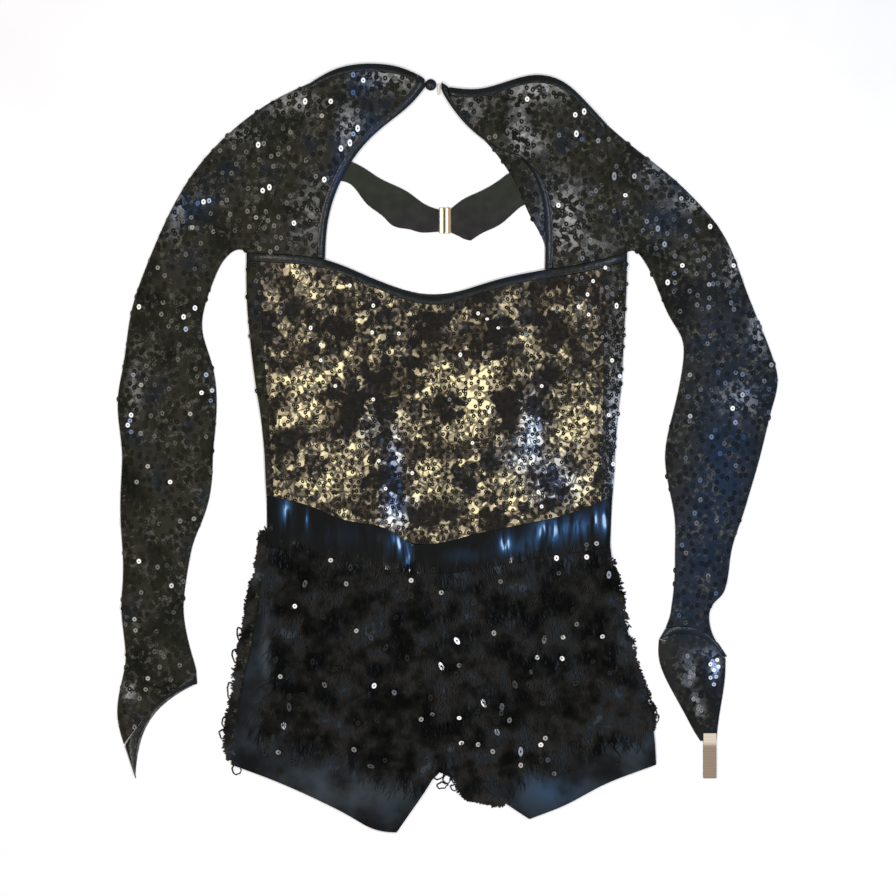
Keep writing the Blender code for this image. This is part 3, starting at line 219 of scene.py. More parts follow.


# Power mesh of black nylon and elastane, knitted. It is matt, with a faint olive or navy cast and greyer
# specks, a painted blue reflection in places and painted shade on the right cuff's point. Its holes are a
# third of a millimetre across, so they are drawn at 1.6 mm to show at all.
def sequin_mesh_material():
    material, add, shader, mm = new_material("knitted_power_mesh", roughness=0.6, specular_ior_level=0.05)
    blue = add("Attribute", attribute_name="blue")["Fac"]
    cast = add("TexNoise", {"Vector": mm, "Scale": 1 / 38, "Detail": 3.0})[0]
    olive_stops = [(0.34, "#0f100a"), (0.45, "#1e1f16"), (0.55, "#292820"), (0.66, "#1a1f23")]
    ground = add("ValToRGB", {"Fac": cast}, stops=olive_stops)[0]
    # Painted blue reflection: the ground turns navy under it
    ground = add("MixRGB", {"Fac": blue, "Color1": ground, "Color2": linear("#18293f")})[0]
    speck = add("TexNoise", {"Vector": mm, "Scale": 1 / 4.5, "Detail": 3.0, "Roughness": 0.65})[0]
    speck = add("MapRange", {"Value": speck, "From Min": 0.5, "From Max": 0.66})[0]
    patch = add("TexNoise", {"Vector": mm, "Scale": 1 / 17, "Detail": 2.0})[0]
    thick = {"Value": patch, "From Min": 0.42, "From Max": 0.6, "To Min": 0.1, "To Max": 0.8}
    patch = add("MapRange", thick)[0]
    amount = add("Math", {0: speck, 1: patch}, operation="MULTIPLY")[0]
    ground = add("MixRGB", {"Fac": amount, "Color1": ground, "Color2": linear("#56554b")})[0]
    # Painted shade: negative gold spots, as on the right cuff's point, darken the net
    unlit = add("Attribute", attribute_name="gold")["Fac"]
    unlit = add("Math", {0: unlit, 1: -0.85}, operation="MULTIPLY", use_clamp=True)[0]
    ground = add("MixRGB", {"Fac": unlit, "Color1": ground, "Color2": linear("#0d0e10")})[0]

    # Where its lace figures show, petals of silvery net stand out
    pale = add("Attribute", attribute_name="pale")["Fac"]
    petal = add("TexVoronoi", {"Vector": mm, "Scale": 1 / 5.0, "Randomness": 1.0})["Color"]
    petal = add("SeparateColor", {0: petal})["Red"]
    petal = add("Math", {0: petal, 1: speck}, operation="ADD")[0]
    petal = add("MapRange", {"Value": petal, "From Min": 0.35, "From Max": 1.05})[0]
    petal = add("Math", {0: petal, 1: pale}, operation="MULTIPLY")[0]
    # Under the painted blue reflection the silvery petals turn blue
    silver = add("MixRGB", {"Fac": blue, "Color1": linear("#a5a5a2"), "Color2": linear("#c3d3ee")})[0]
    add("MixRGB", {"Fac": petal, "Color1": ground, "Color2": silver}, to=shader["Base Color"])
    thread = add("TexVoronoi", {"Vector": mm, "Scale": 1 / 1.6}, feature="DISTANCE_TO_EDGE")[0]
    relief = add("Math", {0: thread, 1: speck}, operation="ADD")[0]
    add("Bump", {"Height": relief, "Distance": 0.3 * MM, "Strength": 0.6}, to=shader["Normal"])
    return material


LOBES = 5  # petals of a flower of the lace


# Black corded lace over a lining of gold foil cloth. Open net shows the gold, petals dull it, and cord
# covers it.
def lace_material():
    material, add, shader, mm = new_material(
        "corded_lace_over_gold_foil_cloth", roughness=0.5, specular_ior_level=0.08
    )
    sway = add("TexNoise", {"Vector": mm, "Scale": 1 / 14, "Detail": 2.0})["Color"]
    sway = add("VectorMath", {0: sway, 1: (0.5, 0.5, 0.5)}, operation="SUBTRACT")[0]
    sway = add("VectorMath", {0: sway, "Scale": 11.0}, operation="SCALE")[0]
    place = add("VectorMath", {0: mm, 1: sway}, operation="ADD")[0]

    # Flowers: lobes round each cell's middle, turned and closed at random
    cells = add("TexVoronoi", {"Vector": place, "Scale": 1 / 34, "Randomness": 0.85}, voronoi_dimensions="2D")
    spoke = add("VectorMath", {0: place, 1: cells["Position"]}, operation="SUBTRACT")[0]
    spoke = add("VectorMath", {0: spoke, 1: (1.0, 1.0, 0.0)}, operation="MULTIPLY")[0]
    reach = add("VectorMath", {0: spoke}, operation="LENGTH")["Value"]
    parts = add("SeparateXYZ", {0: spoke})
    dice = add("SeparateColor", {0: cells["Color"]})
    turn = add("Math", {0: parts["Y"], 1: parts["X"]}, operation="ARCTAN2")[0]
    turn = add("Math", {0: dice["Red"], 1: math.tau, 2: turn}, operation="MULTIPLY_ADD")[0]
    turn = add("Math", {0: turn, 1: LOBES / 2}, operation="MULTIPLY")[0]
    lobe = add("Math", {0: turn}, operation="COSINE")[0]
    lobe = add("Math", {0: lobe}, operation="ABSOLUTE")[0]
    size = add("Math", {0: lobe, 1: 6.5, 2: 9.5}, operation="MULTIPLY_ADD")[0]
    share = add("Math", {0: reach, 1: size}, operation="DIVIDE")[0]
    rim = add("Math", {0: share, 1: 1.0, 2: 0.07}, operation="COMPARE")[0]
    inner = add("Math", {0: share, 1: 0.46, 2: 0.06}, operation="COMPARE")[0]
    inside = add("Math", {0: share, 1: 1.0}, operation="LESS_THAN")[0]
    between = add("Math", {0: lobe, 1: 0.14}, operation="LESS_THAN")[0]
    between = add("Math", {0: between, 1: inside}, operation="MULTIPLY")[0]
    closed = add("Math", {0: dice["Green"], 1: 0.3}, operation="LESS_THAN")[0]
    closed = add("Math", {0: closed, 1: inside}, operation="MULTIPLY")[0]

    # Leaves and petals: small cells, each letting through its own share of the gold, with cord between them
    leaf = add("TexVoronoi", {"Vector": place, "Scale": 1 / 8.5, "Randomness": 1.0})["Color"]
    leaf = add("SeparateColor", {0: leaf})["Red"]
    scrap = add("TexVoronoi", {"Vector": place, "Scale": 1 / 4.2, "Randomness": 1.0})["Color"]
    scrap = add("SeparateColor", {0: scrap})["Green"]
    vein = add("TexVoronoi", {"Vector": place, "Scale": 1 / 8.5}, feature="DISTANCE_TO_EDGE")[0]
    near = {"Value": vein, "From Min": 0.04, "From Max": 0.13, "To Min": 1.0, "To Max": 0.0}
    vein = add("MapRange", near)[0]
    cord = rim
    for part in (inner, between, vein):
        cord = add("Math", {0: cord, 1: part}, operation="MAXIMUM")[0]

    # How much light comes back through the lace: the gold its cover lets through, with painted highlight on
    # the foil where the gold spots lie, and slightly darker towards the top
    gold = add("Attribute", attribute_name="gold")["Fac"]
    blue = add("Attribute", attribute_name="blue")["Fac"]
    clouds = add("TexNoise", {"Vector": mm, "Scale": 1 / 22, "Detail": 3.0})[0]
    height = add("SeparateXYZ", {0: mm})["Y"]
    low = {"Value": height, "From Min": 150.0, "From Max": 40.0, "To Min": -0.5, "To Max": -0.47}
    light = add("MapRange", low)[0]
    parts = [(gold, 0.5), (blue, 0.25), (clouds, 1.0), (leaf, 0.55), (scrap, 0.3), (closed, -0.4)]
    for part, weight in parts:
        light = add("Math", {0: part, 1: weight, 2: light}, operation="MULTIPLY_ADD")[0]
    dim = {"Value": light, "From Min": 0.25, "From Max": 0.5, "To Min": 0.6, "To Max": 0.0}
    shade = add("MapRange", dim)[0]
    # Where the lace is dark, noise patches widen the painted blue reflection
    cast = add("TexNoise", {"Vector": mm, "Scale": 1 / 40, "Detail": 2.0})[0]
    cast = add("MapRange", {"Value": cast, "From Min": 0.46, "From Max": 0.56})[0]
    cast = add("Math", {0: cast, 1: shade}, operation="MULTIPLY")[0]
    blue = add("Math", {0: blue, 1: cast}, operation="MAXIMUM")[0]
    # The palest gold stands in for the foil's highlights: painted highlight
    warm_stops = [(0.05, "#17140f"), (0.24, "#2b251b"), (0.4, "#4d4533")]
    warm_stops += [(0.55, "#837862"), (0.7, "#bdb08e"), (0.88, "#f8e9b4")]
    warm = add("ValToRGB", {"Fac": light}, stops=warm_stops)[0]
    # Cold colours, up to near white, are the painted blue reflection
    cold_stops = [(0.08, "#0a0e13"), (0.34, "#16202f"), (0.55, "#31456a")]
    cold_stops += [(0.8, "#a9c2e2"), (0.95, "#e6f0ff")]
    cold = add("ValToRGB", {"Fac": light}, stops=cold_stops)[0]
    colour = add("MixRGB", {"Fac": blue, "Color1": warm, "Color2": cold})[0]
    cover = add("Math", {0: cord, 1: 0.8}, operation="MULTIPLY")[0]
    add("MixRGB", {"Fac": cover, "Color1": colour, "Color2": linear("#1a1611")}, to=shader["Base Color"])
    add("Bump", {"Height": cord, "Distance": 0.5 * MM, "Strength": 0.7}, to=shader["Normal"])
    return material


# Spandex binding, folded and sewn. It has a soft satin sheen and puckers where it is stretched.
def binding_material():
    material, add, shader, mm = new_material("satin_spandex_binding", roughness=0.3, specular_ior_level=0.2)
    blue = add("Attribute", attribute_name="blue")["Fac"]
    cast = add("TexNoise", {"Vector": mm, "Scale": 1 / 45, "Detail": 2.0})[0]
    colour = add("ValToRGB", {"Fac": cast}, stops=[(0.4, "#0e120d"), (0.52, "#141918"), (0.62, "#12171d")])[0]
    # Painted blue reflection turns it navy in places
    add("MixRGB", {"Fac": blue, "Color1": colour, "Color2": linear("#16253c")}, to=shader["Base Color"])
    pucker = add("TexNoise", {"Vector": mm, "Scale": 1 / 4.5, "Detail": 2.0})[0]
    add("Bump", {"Height": pucker, "Distance": 0.5 * MM, "Strength": 0.7}, to=shader["Normal"])
    return material


# Polyurethane-coated tricot. Its film is glossy; the soft bright blue streaks along its folds are painted
# highlight and painted blue reflection.
def wet_look_material():
    material, add, shader, mm = new_material("coated_tricot", roughness=0.14, specular_ior_level=0.25)
    painted_sheen = add("Attribute", attribute_name="painted_sheen")["Fac"]
    long_way = add("Mapping", {"Vector": mm, "Scale": (1 / 7, 1 / 36, 1 / 10)})[0]
    slack = add("TexNoise", {"Vector": long_way, "Scale": 1.0, "Detail": 2.0})[0]
    painted_streak = add("MapRange", {"Value": slack, "From Min": 0.3, "From Max": 0.52})[0]
    painted_streak = add("Math", {0: painted_streak, 1: painted_sheen}, operation="MULTIPLY")[0]
    # Painted highlight and painted blue reflection in the streaks
    painted_streak_stops = [(0.05, "#080909"), (0.3, "#111c26"), (0.55, "#1a3049")]
    painted_streak_stops += [(0.75, "#345a80"), (0.9, "#a9c4e0")]
    add("ValToRGB", {"Fac": painted_streak}, stops=painted_streak_stops, to=shader["Base Color"])
    add("Bump", {"Height": slack, "Distance": 1.6 * MM, "Strength": 0.5}, to=shader["Normal"])
    return material


# Nylon tricot, smooth and blue black, with a low painted sheen at the sheen spots, bluer under the painted
# blue reflection. Its wales are too fine to show and are drawn coarser.
def tricot_material():
    material, add, shader, mm = new_material("nylon_tricot", roughness=0.5, specular_ior_level=0.06)
    painted_sheen = add("Attribute", attribute_name="painted_sheen")["Fac"]
    cast = add("TexNoise", {"Vector": mm, "Scale": 1 / 30, "Detail": 3.0})[0]
    ground = add("ValToRGB", {"Fac": cast}, stops=[(0.38, "#0d0e0f"), (0.5, "#171b1d"), (0.62, "#20282e")])[0]
    blue = add("Attribute", attribute_name="blue")["Fac"]
    # Painted sheen colour, bluer under the painted blue reflection
    painted_shine = add("MixRGB", {"Fac": blue, "Color1": linear("#363d42"), "Color2": linear("#2c445b")})[0]
    shown = add("MapRange", {"Value": cast, "From Min": 0.3, "From Max": 0.6})[0]
    shown = add("Math", {0: shown, 1: painted_sheen}, operation="MULTIPLY")[0]
    add("MixRGB", {"Fac": shown, "Color1": ground, "Color2": painted_shine}, to=shader["Base Color"])
    wale = add("TexWave", {"Vector": mm, "Scale": 1 / 2.4, "Distortion": 0.6}, bands_direction="X")["Fac"]
    add("Bump", {"Height": wale, "Distance": 0.12 * MM, "Strength": 0.5}, to=shader["Normal"])
    return material


# Brushed tricot of the strap, matt, greenish black above and faintly violet below.
def strap_material():
    material, add, shader, mm = new_material("brushed_tricot", roughness=0.85, specular_ior_level=0.05)
    height = add("SeparateXYZ", {0: mm})["Y"]
    fade = add("MapRange", {"Value": height, "From Min": 200.0, "From Max": 235.0})[0]
    upper = add("MixRGB", {"Fac": fade, "Color1": linear("#2a282a"), "Color2": linear("#2a2f26")})[0]
    cast = add("TexNoise", {"Vector": mm, "Scale": 1 / 12, "Detail": 4.0})[0]
    cast = add("MapRange", {"Value": cast, "From Min": 0.35, "From Max": 0.65, "To Max": 0.4})[0]
    add("MixRGB", {"Fac": cast, "Color1": upper, "Color2": linear("#3c3d36")}, to=shader["Base Color"])
    nap = add("TexNoise", {"Vector": mm, "Scale": 1 / 0.8, "Detail": 2.0})[0]
    add("Bump", {"Height": nap, "Distance": 0.15 * MM, "Strength": 0.5}, to=shader["Normal"])
    return material


# Polyester film, punched. Sequins are black with a mirror face; the tone of each sets how pale it is, and the
# palest are painted glints.
def foil_material():
    material, add, shader, mm = new_material("black_polyester_foil", roughness=0.16, specular_ior_level=0.07)
    tone = add("Attribute", attribute_name="tone")["Fac"]
    blue = add("Attribute", attribute_name="blue")["Fac"]
    # Dark greys are the foil's own; the palest stops are painted glints
    warm_stops = [(0.6, "#1b1b17"), (0.93, "#23231d"), (0.955, "#4a4b48")]
    warm_stops += [(0.985, "#a9a79d"), (1.0, "#f2f0e8")]
    warm = add("ValToRGB", {"Fac": tone}, stops=warm_stops)[0]
    # Under the painted blue reflection they turn blue, the palest to painted blue glints
    cold_stops = [(0.5, "#111820"), (0.9, "#15243a"), (0.95, "#3a5a8c"), (0.985, "#a2bfe8"), (1.0, "#e2ecff")]
    cold = add("ValToRGB", {"Fac": tone}, stops=cold_stops)[0]
    add("MixRGB", {"Fac": blue, "Color1": warm, "Color2": cold}, to=shader["Base Color"])
    dent = add("TexNoise", {"Vector": mm, "Scale": 1 / 2.2, "Detail": 1.0})[0]
    add("Bump", {"Height": dent, "Distance": 0.1 * MM, "Strength": 0.4}, to=shader["Normal"])
    return material


# Viscose yarn, slightly hairy and brown black.
def yarn_material():
    material, add, shader, mm = new_material("viscose_yarn", roughness=0.75, specular_ior_level=0.05)
    cast = add("TexNoise", {"Vector": mm, "Scale": 1 / 20, "Detail": 3.0})[0]
    yarn_stops = [(0.38, "#0f0f0e"), (0.48, "#1f1f1d"), (0.57, "#32302d")]
    yarn_stops += [(0.66, "#2c3338"), (0.72, "#474b4e")]
    add("ValToRGB", {"Fac": cast}, stops=yarn_stops, to=shader["Base Color"])
    ply = add("TexNoise", {"Vector": mm, "Scale": 1 / 0.7, "Detail": 1.0})[0]
    add("Bump", {"Height": ply, "Distance": 0.1 * MM, "Strength": 0.6}, to=shader["Normal"])
    return material


# Gilt zinc, cast and plated: pale, softly polished, with painted reflections in bands across it, darker along
# its sides.
def gilt_material():
    material, add, shader, mm = new_material("gilt_zinc", roughness=0.38, metallic=0.85)
    # Painted reflection: light and dark bands across it
    across = add("SeparateXYZ", {0: mm})["X"]
    reflection_band = add("Math", {0: across, 1: math.tau / 4.6, 2: 1.9}, operation="MULTIPLY_ADD")[0]
    reflection_band = add("Math", {0: reflection_band}, operation="COSINE")[0]
    reflection_band_stops = [(0.0, "#6b5a44"), (0.35, "#c9b089"), (0.8, "#f6ead2")]
    reflection_band = add("MapRange", {"Value": reflection_band, "From Min": -1.0})[0]
    add("ValToRGB", {"Fac": reflection_band}, stops=reflection_band_stops, to=shader["Base Color"])
    long_way = add("Mapping", {"Vector": mm, "Scale": (3.0, 0.25, 1.0)})[0]
    scratch = add("TexNoise", {"Vector": long_way, "Scale": 1.0, "Detail": 3.0})[0]
    add("Bump", {"Height": scratch, "Distance": 0.03 * MM, "Strength": 0.4}, to=shader["Normal"])
    return material


# Clear polyurethane elastic of the neck loop: milky where it is scuffed.
def clear_material():
    material, add, shader, mm = new_material("clear_polyurethane", roughness=0.25)
    scuff = add("TexNoise", {"Vector": mm, "Scale": 1 / 1.5, "Detail": 2.0})[0]
    add("ValToRGB", {"Fac": scuff}, stops=[(0.35, "#b9bdb6"), (0.65, "#dedcd5")], to=shader["Base Color"])
    add("Bump", {"Height": scuff, "Distance": 0.05 * MM, "Strength": 0.4}, to=shader["Normal"])
    return material


# Knitted elastic, skin coloured, with ribs across it.
def elastic_material():
    material, add, shader, mm = new_material("knitted_elastic", roughness=0.8, specular_ior_level=0.2)
    rib = add("TexWave", {"Vector": mm, "Scale": 1 / 4.4, "Distortion": 0.3}, bands_direction="Y")["Fac"]
    fold = add("SeparateXYZ", {0: mm})["Y"]
    fold = add("MapRange", {"Value": fold, "From Min": -268.0, "From Max": -264.0})[0]
    plain = add("ValToRGB", {"Fac": rib}, stops=[(0.2, "#84725f"), (0.8, "#978672")])[0]
    pale = add("ValToRGB", {"Fac": rib}, stops=[(0.2, "#c2b59e"), (0.8, "#d6ccb8")])[0]
    add("MixRGB", {"Fac": fold, "Color1": plain, "Color2": pale}, to=shader["Base Color"])
    add("Bump", {"Height": rib, "Distance": 0.25 * MM, "Strength": 0.6}, to=shader["Normal"])
    return material


# White card under the garment, matt, with a faint tooth.
def card_material():
    material, add, shader, mm = new_material("white_card", roughness=0.9)
    tooth = add("TexNoise", {"Vector": mm, "Scale": 1 / 60, "Detail": 3.0})[0]
    add("ValToRGB", {"Fac": tooth}, stops=[(0.3, "#f4f4f3"), (0.7, "#f7f7f6")], to=shader["Base Color"])
    return material


LOOK = {
    "sequin_mesh": sequin_mesh_material(),
    "gold_lace": lace_material(),
    "binding": binding_material(),
    "wet_look": wet_look_material(),
    "stretch_cloth": tricot_material(),
    "plain_cloth": strap_material(),
    "fringe": yarn_material(),
    "gilt_metal": gilt_material(),
    "clear_elastic": clear_material(),
    "elastic": elastic_material(),
    "foil": foil_material(),
}

# Which pieces each finish covers
CLOTH = {
    "sequin_mesh": [
        "side_panel_left", "side_panel_right", "bodice_back", "yoke_front_left", "yoke_front_right",
        "yoke_back_left", "yoke_back_right", "sleeve_left", "sleeve_right", "cuff_point_right",
    ],
    "gold_lace": ["bodice_front"],
    "binding": [
        "neckline_binding", "keyhole_binding_left", "keyhole_binding_right", "neck_binding_left",
        "neck_binding_right", "cuff_binding_left", "cuff_binding_right",
    ],
    "wet_look": ["waistband_front_left", "waistband_front_right", "waistband_back"],
    "stretch_cloth": ["shorts_front_left", "shorts_front_right", "shorts_back_left", "shorts_back_right"],
    "plain_cloth": ["back_strap_left", "back_strap_right"],
    "elastic": ["finger_loop_right"],
}
SEQUINNED = CLOTH["sequin_mesh"] + CLOTH["gold_lace"]
SEQUINNED_CLOTH = {name + "_cloth" for name in SEQUINNED} | {None}

Sewn = namedtuple("Sewn", "pitch size")

# How close the sequins are sewn, in millimetres, and how big they are against the usual ones
USUAL = Sewn(8.0, 0.9)
SEWN = {
    "bodice_front": Sewn(6.0, 0.72),
    "cuff_point_right": Sewn(4.0, 0.8),
    "side_panel_right": Sewn(5.0, 0.8),
}
UNDERSIDE = ["bodice_back", "yoke_back_left", "yoke_back_right", "sleeve_left", "sleeve_right"]

Glint = namedtuple("Glint", "x y long tone blue")

# Their tones paint them pale: painted glints.
# Sequins that catch the light, at the places listed. long is their length over their width.
GLINTS = [
    Glint(*row)
    for row in (
        (238, -186, 1.0, 1.0, 0.35), (242, -190, 1.0, 1.0, 0.1), (243, -196, 1.0, 1.0, 0.2),
        (241, -205, 1.0, 0.985, 0.7), (236, -206, 1.0, 0.985, 0.8), (239, -212, 1.0, 0.975, 0.8),
        (-128, 311, 1.5, 1.0, 0), (-105, 311, 1.2, 1.0, 0), (-113, 298, 1.0, 0.98, 0),
        (-170, 272, 1.4, 1.0, 0), (-165, 273, 1.2, 0.96, 0), (-202, 247, 1.0, 0.95, 0),
        (-160, 234, 1.4, 1.0, 0), (-166, 231, 1.2, 1.0, 0), (-111, 241, 1.3, 1.0, 0),
        (-138, 202, 1.2, 1.0, 0), (-172, 207, 1.0, 0.97, 0), (-169, 200, 1.0, 0.95, 0),
        (-224, 220, 1.1, 0.95, 0.7), (-219, 221, 1.2, 1.0, 0.6), (-214, 222, 1.1, 0.97, 0.7),
        (-230, 207, 1.0, 0.96, 0), (-229, 198, 1.0, 0.97, 0), (-85, 335, 1.3, 0.96, 0.8),
        (-76, 330, 1.2, 1.0, 0.7), (-85, 319, 1.2, 0.95, 0.9), (-81, 287, 1.6, 1.0, 0.7),
        (-85, 282, 1.1, 0.97, 0.7), (-88, 274, 1.6, 1.0, 0.5), (-96, 269, 1.4, 1.0, 0.6),
        (-260, 162, 1.0, 0.97, 0), (-227, 161, 1.0, 0.95, 0), (-277, 127, 1.2, 1.0, 0),
        (-227, 126, 1.2, 1.0, 0.6), (-237, 118, 1.2, 1.0, 0), (-235, 107, 1.2, 0.98, 0.5),
        (-282, 66, 1.0, 0.97, 0.2), (-275, 57, 1.0, 0.98, 0), (-217, 66, 1.1, 0.98, 0.4),
        (-221, 50, 1.0, 1.0, 0), (-212, 52, 1.0, 0.99, 0), (-213, 43, 1.0, 0.96, 0.3),
        (-231, 31, 1.0, 0.98, 0), (-284, 30, 1.1, 1.0, 0.4), (-285, 25, 1.0, 0.97, 0.5),
        (-287, 21, 1.1, 1.0, 0.4), (-284, 15, 1.0, 0.96, 0.6), (-269, -16, 1.0, 0.98, 0),
        (-279, -30, 1.0, 0.97, 0), (-249, -30, 1.0, 1.0, 0), (-228, -63, 1.0, 0.97, 0),
        (-277, -101, 1.1, 1.0, 0), (-248, -123, 1.1, 0.99, 0.2), (-275, -129, 1.1, 0.96, 0),
        (-246, -147, 1.0, 0.95, 0), (-281, -153, 1.0, 0.98, 0), (-280, -163, 1.0, 0.97, 0),
        (-263, -182, 1.2, 0.95, 0), (-269, -206, 1.0, 0.98, 0), (-271, -216, 1.0, 0.96, 0),
        (167, 244, 1.2, 0.98, 0.2), (149, 244, 1.9, 0.97, 0.2), (159, 227, 0.9, 1.0, 0.2),
        (209, 224, 1.0, 0.98, 0.2), (235, 199, 1.2, 1.0, 0), (188, 197, 1.4, 0.97, 0.4),
        (194, 183, 1.3, 0.97, 0.5), (210, 164, 1.0, 1.0, 0), (203, 157, 1.0, 0.96, 0.3),
        (197, 149, 1.3, 1.0, 0.3), (234, 147, 1.0, 0.97, 0.2), (256, 164, 1.0, 1.0, 0.3),
        (217, 66, 1.0, 0.97, 0.2), (237, 43, 1.0, 0.95, 0.2), (264, 48, 1.2, 0.98, 0.3),
        (255, 36, 1.1, 1.0, 0.2), (217, 29, 1.0, 0.98, 0.3), (290, 75, 1.1, 0.97, 0.2),
        (71, 313, 1.2, 1.0, 0), (114, 299, 1.2, 1.0, 0), (122, 302, 1.5, 1.0, 0), (115, 282, 1.5, 1.0, 0.4),
        (120, 277, 1.0, 0.95, 0.6), (89, 229, 1.2, 1.0, 0), (99, 218, 1.1, 1.0, 0), (86, 321, 1.0, 0.95, 0.3),
        (236, -194, 1.1, 1.0, 0.6),
        (239, -199, 1.0, 1.0, 0.3), (-88, 146, 1.2, 1.0, 0), (-67, 128, 1.2, 1.0, 0),
        (-123, 108, 1.3, 1.0, 0), (-68, 104, 1.2, 1.0, 0), (-44, 103, 1.1, 1.0, 0), (-114, 93, 1.1, 1.0, 0),
        (-114, 79, 1.0, 1.0, 0), (-101, 56, 1.0, 1.0, 0), (-67, 44, 1.0, 1.0, 0), (27, 121, 1.1, 1.0, 0),
        (35, 116, 0.8, 1.0, 0), (45, 108, 0.8, 1.0, 0), (11, 84, 1.3, 1.0, 0), (34, 82, 1.0, 0.98, 0),
        (117, 127, 1.2, 1.0, 0), (126, 120, 1.1, 1.0, 0), (125, 138, 1.2, 1.0, 0), (130, 150, 1.1, 1.0, 0),
        (151, 128, 1.5, 1.0, 0), (147, 79, 1.1, 1.0, 0), (154, 65, 1.0, 1.0, 0.6), (84, 56, 1.0, 1.0, 0),
        (70, 102, 1.0, 0.97, 0.4), (22, 5, 1.0, 1.0, 0), (25, -2, 1.0, 0.98, 0), (37, 33, 1.2, 1.0, 0),
        (-62, -11, 1.0, 1.0, 0), (-32, -22, 1.1, 1.0, 0), (-28, -46, 1.1, 1.0, 0), (-56, -36, 1.0, 1.0, 0),
        (81, -39, 1.3, 1.0, 0.3), (84, -52, 1.1, 1.0, 0.4), (73, 20, 1.0, 0.98, 0.6), (144, 30, 1.0, 1.0, 0),
        (148, -14, 1.1, 1.0, 0.4), (141, 162, 1.1, 1.0, 0),
    )
]

Cut = namedtuple("Cut", "width length area rests_on")


def crease_height(places):
    """What the finer creases add at places, all in millimetres."""
    total = np.zeros(len(places))
    for crease in CREASES:
        start = np.array([crease.x1, crease.y1])
        run = np.array([crease.x2, crease.y2]) - start
        share = np.clip((places - start) @ run / (run @ run), 0, 1)
        away = np.linalg.norm(places - start - share[:, None] * run, axis=1)
        total += crease.rise * np.exp(-((away / crease.spread) ** 2))
    return total


def spot_strength(kind, places):
    """How strong the spots of one kind are at places in millimetres, from -1 to 1."""
    total = np.zeros(len(places))
    for spot in SPOTS[kind]:
        away = (places - np.array([spot.x, spot.y])) / np.array([spot.wide, spot.tall])
        total += spot.strength * np.exp(-(away**2).sum(axis=1))
    return np.clip(total, -1, 1)


def corners_of(mesh):
    corners = np.zeros(len(mesh.vertices) * 3)
    mesh.vertices.foreach_get("co", corners)
    return corners.reshape(-1, 3)


def mark(mesh, name, values):
    """Stores one number for each corner of a mesh, for its material to read."""
    layer = mesh.attributes.new(name, "FLOAT", "POINT")
    layer.data.foreach_set("value", values.astype(np.float32))


def mark_spots(mesh, flat):
    """Stores how strong each kind of spot is at the mesh's corners, given in millimetres."""
    for kind in SPOTS:
        mark(mesh, kind, spot_strength(kind, flat))


def placed(name, data):
    """An object in the scene."""
    thing = bpy.data.objects.new(name, data)
    bpy.context.scene.collection.objects.link(thing)
    return thing


def mesh_of(body, name):
    """The bmesh as a mesh."""
    mesh = bpy.data.meshes.new(name)
    body.to_mesh(mesh)
    body.free()
    return mesh


def settled(source):
    """The mesh that an object's modifiers or bevel give. The object goes."""
    bpy.context.view_layer.update()
    mesh = bpy.data.meshes.new_from_object(source.evaluated_get(bpy.context.evaluated_depsgraph_get()))
    bpy.data.objects.remove(source)
    return mesh


def finished(name, mesh, look):
    """The piece as an object that rides on the garment."""
    thing = placed(name, mesh)
    mesh.materials.clear()
    mesh.materials.append(LOOK[look])
    mesh.shade_smooth()
    mesh.set_sharp_from_angle(angle=RIM_ANGLE)
    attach(thing, BODY)
    return thing


def smoothed(node, rim):
    """The node's mesh, merged, with its facets rounded off and its rims kept."""
    body = bmesh.new()
    body.from_mesh(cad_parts[node].data)
    bmesh.ops.remove_doubles(body, verts=body.verts, dist=MERGE)
    bmesh.ops.join_triangles(body, faces=body.faces, angle_face_threshold=0.6, angle_shape_threshold=1.2)
    keep = body.edges.layers.float.new("crease_edge")
    for edge in body.edges:
        if edge.calc_face_angle(0) > RIM_ANGLE:
            edge[keep] = rim
    source = placed(node + "_source", mesh_of(body, node))
    rounding = source.modifiers.new("Rounding", "SUBSURF")
    rounding.levels = rounding.render_levels = ROUNDING
    return settled(source)


def dress(node, look):
    """Cloth over a node: its form with the finer creases pressed in."""
    mesh = smoothed(node, BINDING_RIM if look == "binding" else 1.0)
    corners = corners_of(mesh)
    flat = corners[:, :2] / MM
    if not any(word in node for word in ("back", "point", "loop")):
        tube = "sleeve" in node or "cuff" in node
        free = (corners[:, 2] > UNDER_CLEAR) | (not tube)
        raised = corners[:, 2] + crease_height(flat) * MM * free
        corners[:, 2] = np.maximum(raised, np.minimum(corners[:, 2], UNDER_CLEAR))
        mesh.vertices.foreach_set("co", corners.ravel())
    mark_spots(mesh, flat)
    cloth = finished(node + "_cloth", mesh, look)
    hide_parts(node)
    return cloth


class Surface:
    """The top of the whole garment, for finding what lies at a place and how high."""

    def __init__(self, pieces):
        corners, faces, self.starts, self.names = [], [], [], []
        for piece in pieces:
            offset = len(corners)
            self.starts.append(len(faces))
            self.names.append(piece.name)
            corners += [vert.co.copy() for vert in piece.data.vertices]
            faces += [[offset + corner for corner in face.vertices] for face in piece.data.polygons]
        self.tree = BVHTree.FromPolygons(corners, faces)

    def at(self, x, y, below=False):
        """What shows there from above, or from below: the place, the normal and the piece's name."""
        start = Vector((x, y, -RAY_TOP if below else RAY_TOP))
        place, normal, face, _ = self.tree.ray_cast(start, Vector((0, 0, -start.z)))
        if place is None:
            return None, None, None
        return place, normal, self.names[np.searchsorted(self.starts, face, side="right") - 1]


